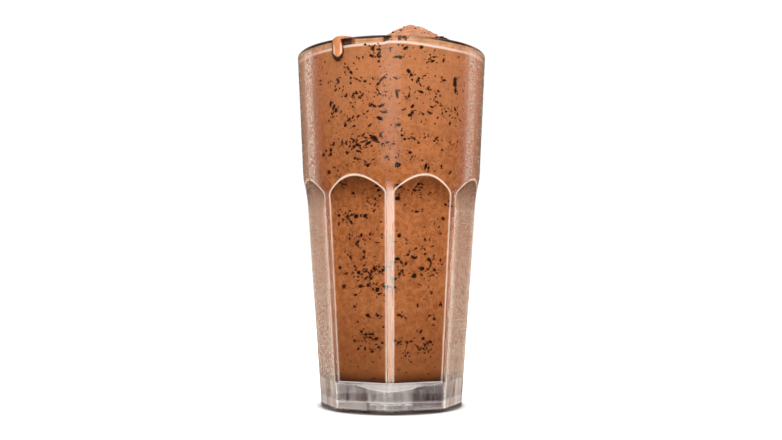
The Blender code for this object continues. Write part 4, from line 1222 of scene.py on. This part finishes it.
# ------------------------------------------------------------------ floor
floor = new_mesh("floor", [(-6, -6, -0.0001), (6, -6, -0.0001), (6, 6, -0.0001), (-6, 6, -0.0001)], [(0, 1, 2, 3)], False)
mat, n, sh = new_material("white_table")
coord = n.add("ShaderNodeTexCoord").outputs["Object"]
tone = n.ramp(n.noise(3.0, 2.0, 0.5, coord), ((0.3, (0.86, 0.86, 0.86)), (0.7, (0.88, 0.88, 0.88))))
sh.inputs["Roughness"].default_value = 0.6
sh.inputs["Specular IOR Level"].default_value = 0.2
flat = n.add("ShaderNodeVectorMath", _operation="MULTIPLY")
n.put(flat.inputs[0], coord)
flat.inputs[1].default_value = (1, 1, 0)
reach = n.add("ShaderNodeVectorMath", _operation="LENGTH")
n.put(reach.inputs[0], flat.outputs[0])
glow = n.add("ShaderNodeMapRange", Value=reach.outputs["Value"], From__Min=0.0317, From__Max=0.0378)
# painted shadow: a dark ring round the foot and a dark disc under the glass
shade = n.add("ShaderNodeMapRange", Value=reach.outputs["Value"], From__Min=0.0320, From__Max=0.0360, To__Min=0.20, To__Max=0.0)
tone = n.blend(shade.outputs[0], tone, (0.36, 0.33, 0.32))
under = n.add("ShaderNodeMapRange", Value=reach.outputs["Value"], From__Min=0.0322, From__Max=0.0312)
tone = n.blend(under.outputs[0], tone, (0.34, 0.31, 0.30))
n.put(sh.inputs["Base Color"], tone)
seen = n.add("ShaderNodeLightPath").outputs["Is Camera Ray"]
sh.inputs["Emission Color"].default_value = (1, 1, 1, 1)
n.put(sh.inputs["Emission Strength"], n.math("MULTIPLY", glow.outputs[0], seen))
floor.data.materials.append(mat)
floor.visible_glossy = False


# ------------------------------------------------------------------ light
def softbox(name, place, aim, width, height, radiance, glossy=True, diffuse=True, through=True):
    data = bpy.data.lights.new(name, "AREA")
    data.shape = "RECTANGLE"
    data.size, data.size_y = width, height
    data.energy = radiance * math.pi * width * height
    obj = bpy.data.objects.new(name, data)
    obj.location = place
    obj.rotation_euler = (Vector(aim) - Vector(place)).to_track_quat("-Z", "Y").to_euler()
    obj.visible_camera = False
    obj.visible_glossy = glossy
    obj.visible_diffuse = diffuse
    obj.visible_transmission = through
    bpy.context.scene.collection.objects.link(obj)
    return obj


MID = (0, 0, 0.08)
softbox("backdrop_light", (0, 1.3, 0.25), MID, 0.90, 0.9, 1.0, glossy=False)
for side in (-1, 1):
    a = math.radians(132)
    box = softbox("side_box_%d" % side, (side * 0.75 * math.sin(a), -0.75 * math.cos(a), 0.18), MID, 0.55, 0.60, 0.58)
    box.data.color = (1.0, 0.60, 0.30)
softbox("top_box", (0, 0.05, 0.95), MID, 0.9, 0.9, 2.2)
softbox("front_fill", (0.16, -1.3, 0.40), MID, 1.5, 1.1, 4.25, glossy=False)
# highlights on the ridges and on the band, from upright strips in front
for width, radiance in ((0.150, 11.5), (0.205, 11.5)):
    softbox("ridge_strip_%d" % (width * 1000), (0, -0.9, -0.075), (0, 0, 0.055), width, 0.32, radiance,
            diffuse=False, through=False)
for width, radiance in ((0.07, 3.4), (0.11, 3.3), (0.15, 3.1), (0.19, 2.8), (0.24, 2.6), (0.29, 2.4), (0.34, 2.2), (0.40, 2.0)):
    softbox("band_strip_%d" % (width * 1000), (0, -0.9, 0.215), (0, 0, 0.12), width, 0.24, radiance,
            diffuse=False, through=False)

# and on the two ridges beside the front one, from upright strips at the sides
for azimuth in (-95.3, 93.6):
    a = math.radians(azimuth)
    softbox("side_strip_%d" % azimuth, (0.9 * math.sin(a), -0.9 * math.cos(a), -0.095), (0, 0, 0.055), 0.045, 0.27, 10.0,
            diffuse=False, through=False)

world = bpy.data.worlds.new("studio")
world.use_nodes = True
bpy.context.scene.world = world
w = Nodes(world.node_tree)
world.node_tree.nodes.clear()
path = w.add("ShaderNodeLightPath")
seen = w.add("ShaderNodeBackground", Color=(1, 1, 1, 1), Strength=1.05)
lit = w.add("ShaderNodeBackground", Color=(1.0, 0.98, 0.96, 1), Strength=0.26)
pick = w.add("ShaderNodeMixShader", Fac=path.outputs["Is Camera Ray"])
world.node_tree.links.new(lit.outputs[0], pick.inputs[1])
world.node_tree.links.new(seen.outputs[0], pick.inputs[2])
out = w.add("ShaderNodeOutputWorld")
world.node_tree.links.new(pick.outputs[0], out.inputs["Surface"])

# ------------------------------------------------------------------ camera, colour
cam_data = bpy.data.cameras.new("camera")
cam = bpy.data.objects.new("camera", cam_data)
bpy.context.scene.collection.objects.link(cam)
cam_data.sensor_width = 36.0
cam_data.lens = 36.0 * 947.2 / 782
cam_data.shift_x = -0.45 / 782
cam_data.clip_start = 0.01
orbit = math.radians(1.2)
cam.location = (0.4326 * math.sin(orbit), -0.4326 * math.cos(orbit), 0.0590)
cam.rotation_euler = (math.radians(90) + 0.0571, 0, orbit)
bpy.context.scene.camera = cam

scene = bpy.context.scene
scene.view_settings.view_transform = "Standard"
scene.view_settings.look = "None"
scene.view_settings.exposure = 0.0
scene.view_settings.gamma = 1.0
scene.cycles.max_bounces = 16
scene.cycles.transmission_bounces = 14
scene.cycles.glossy_bounces = 6
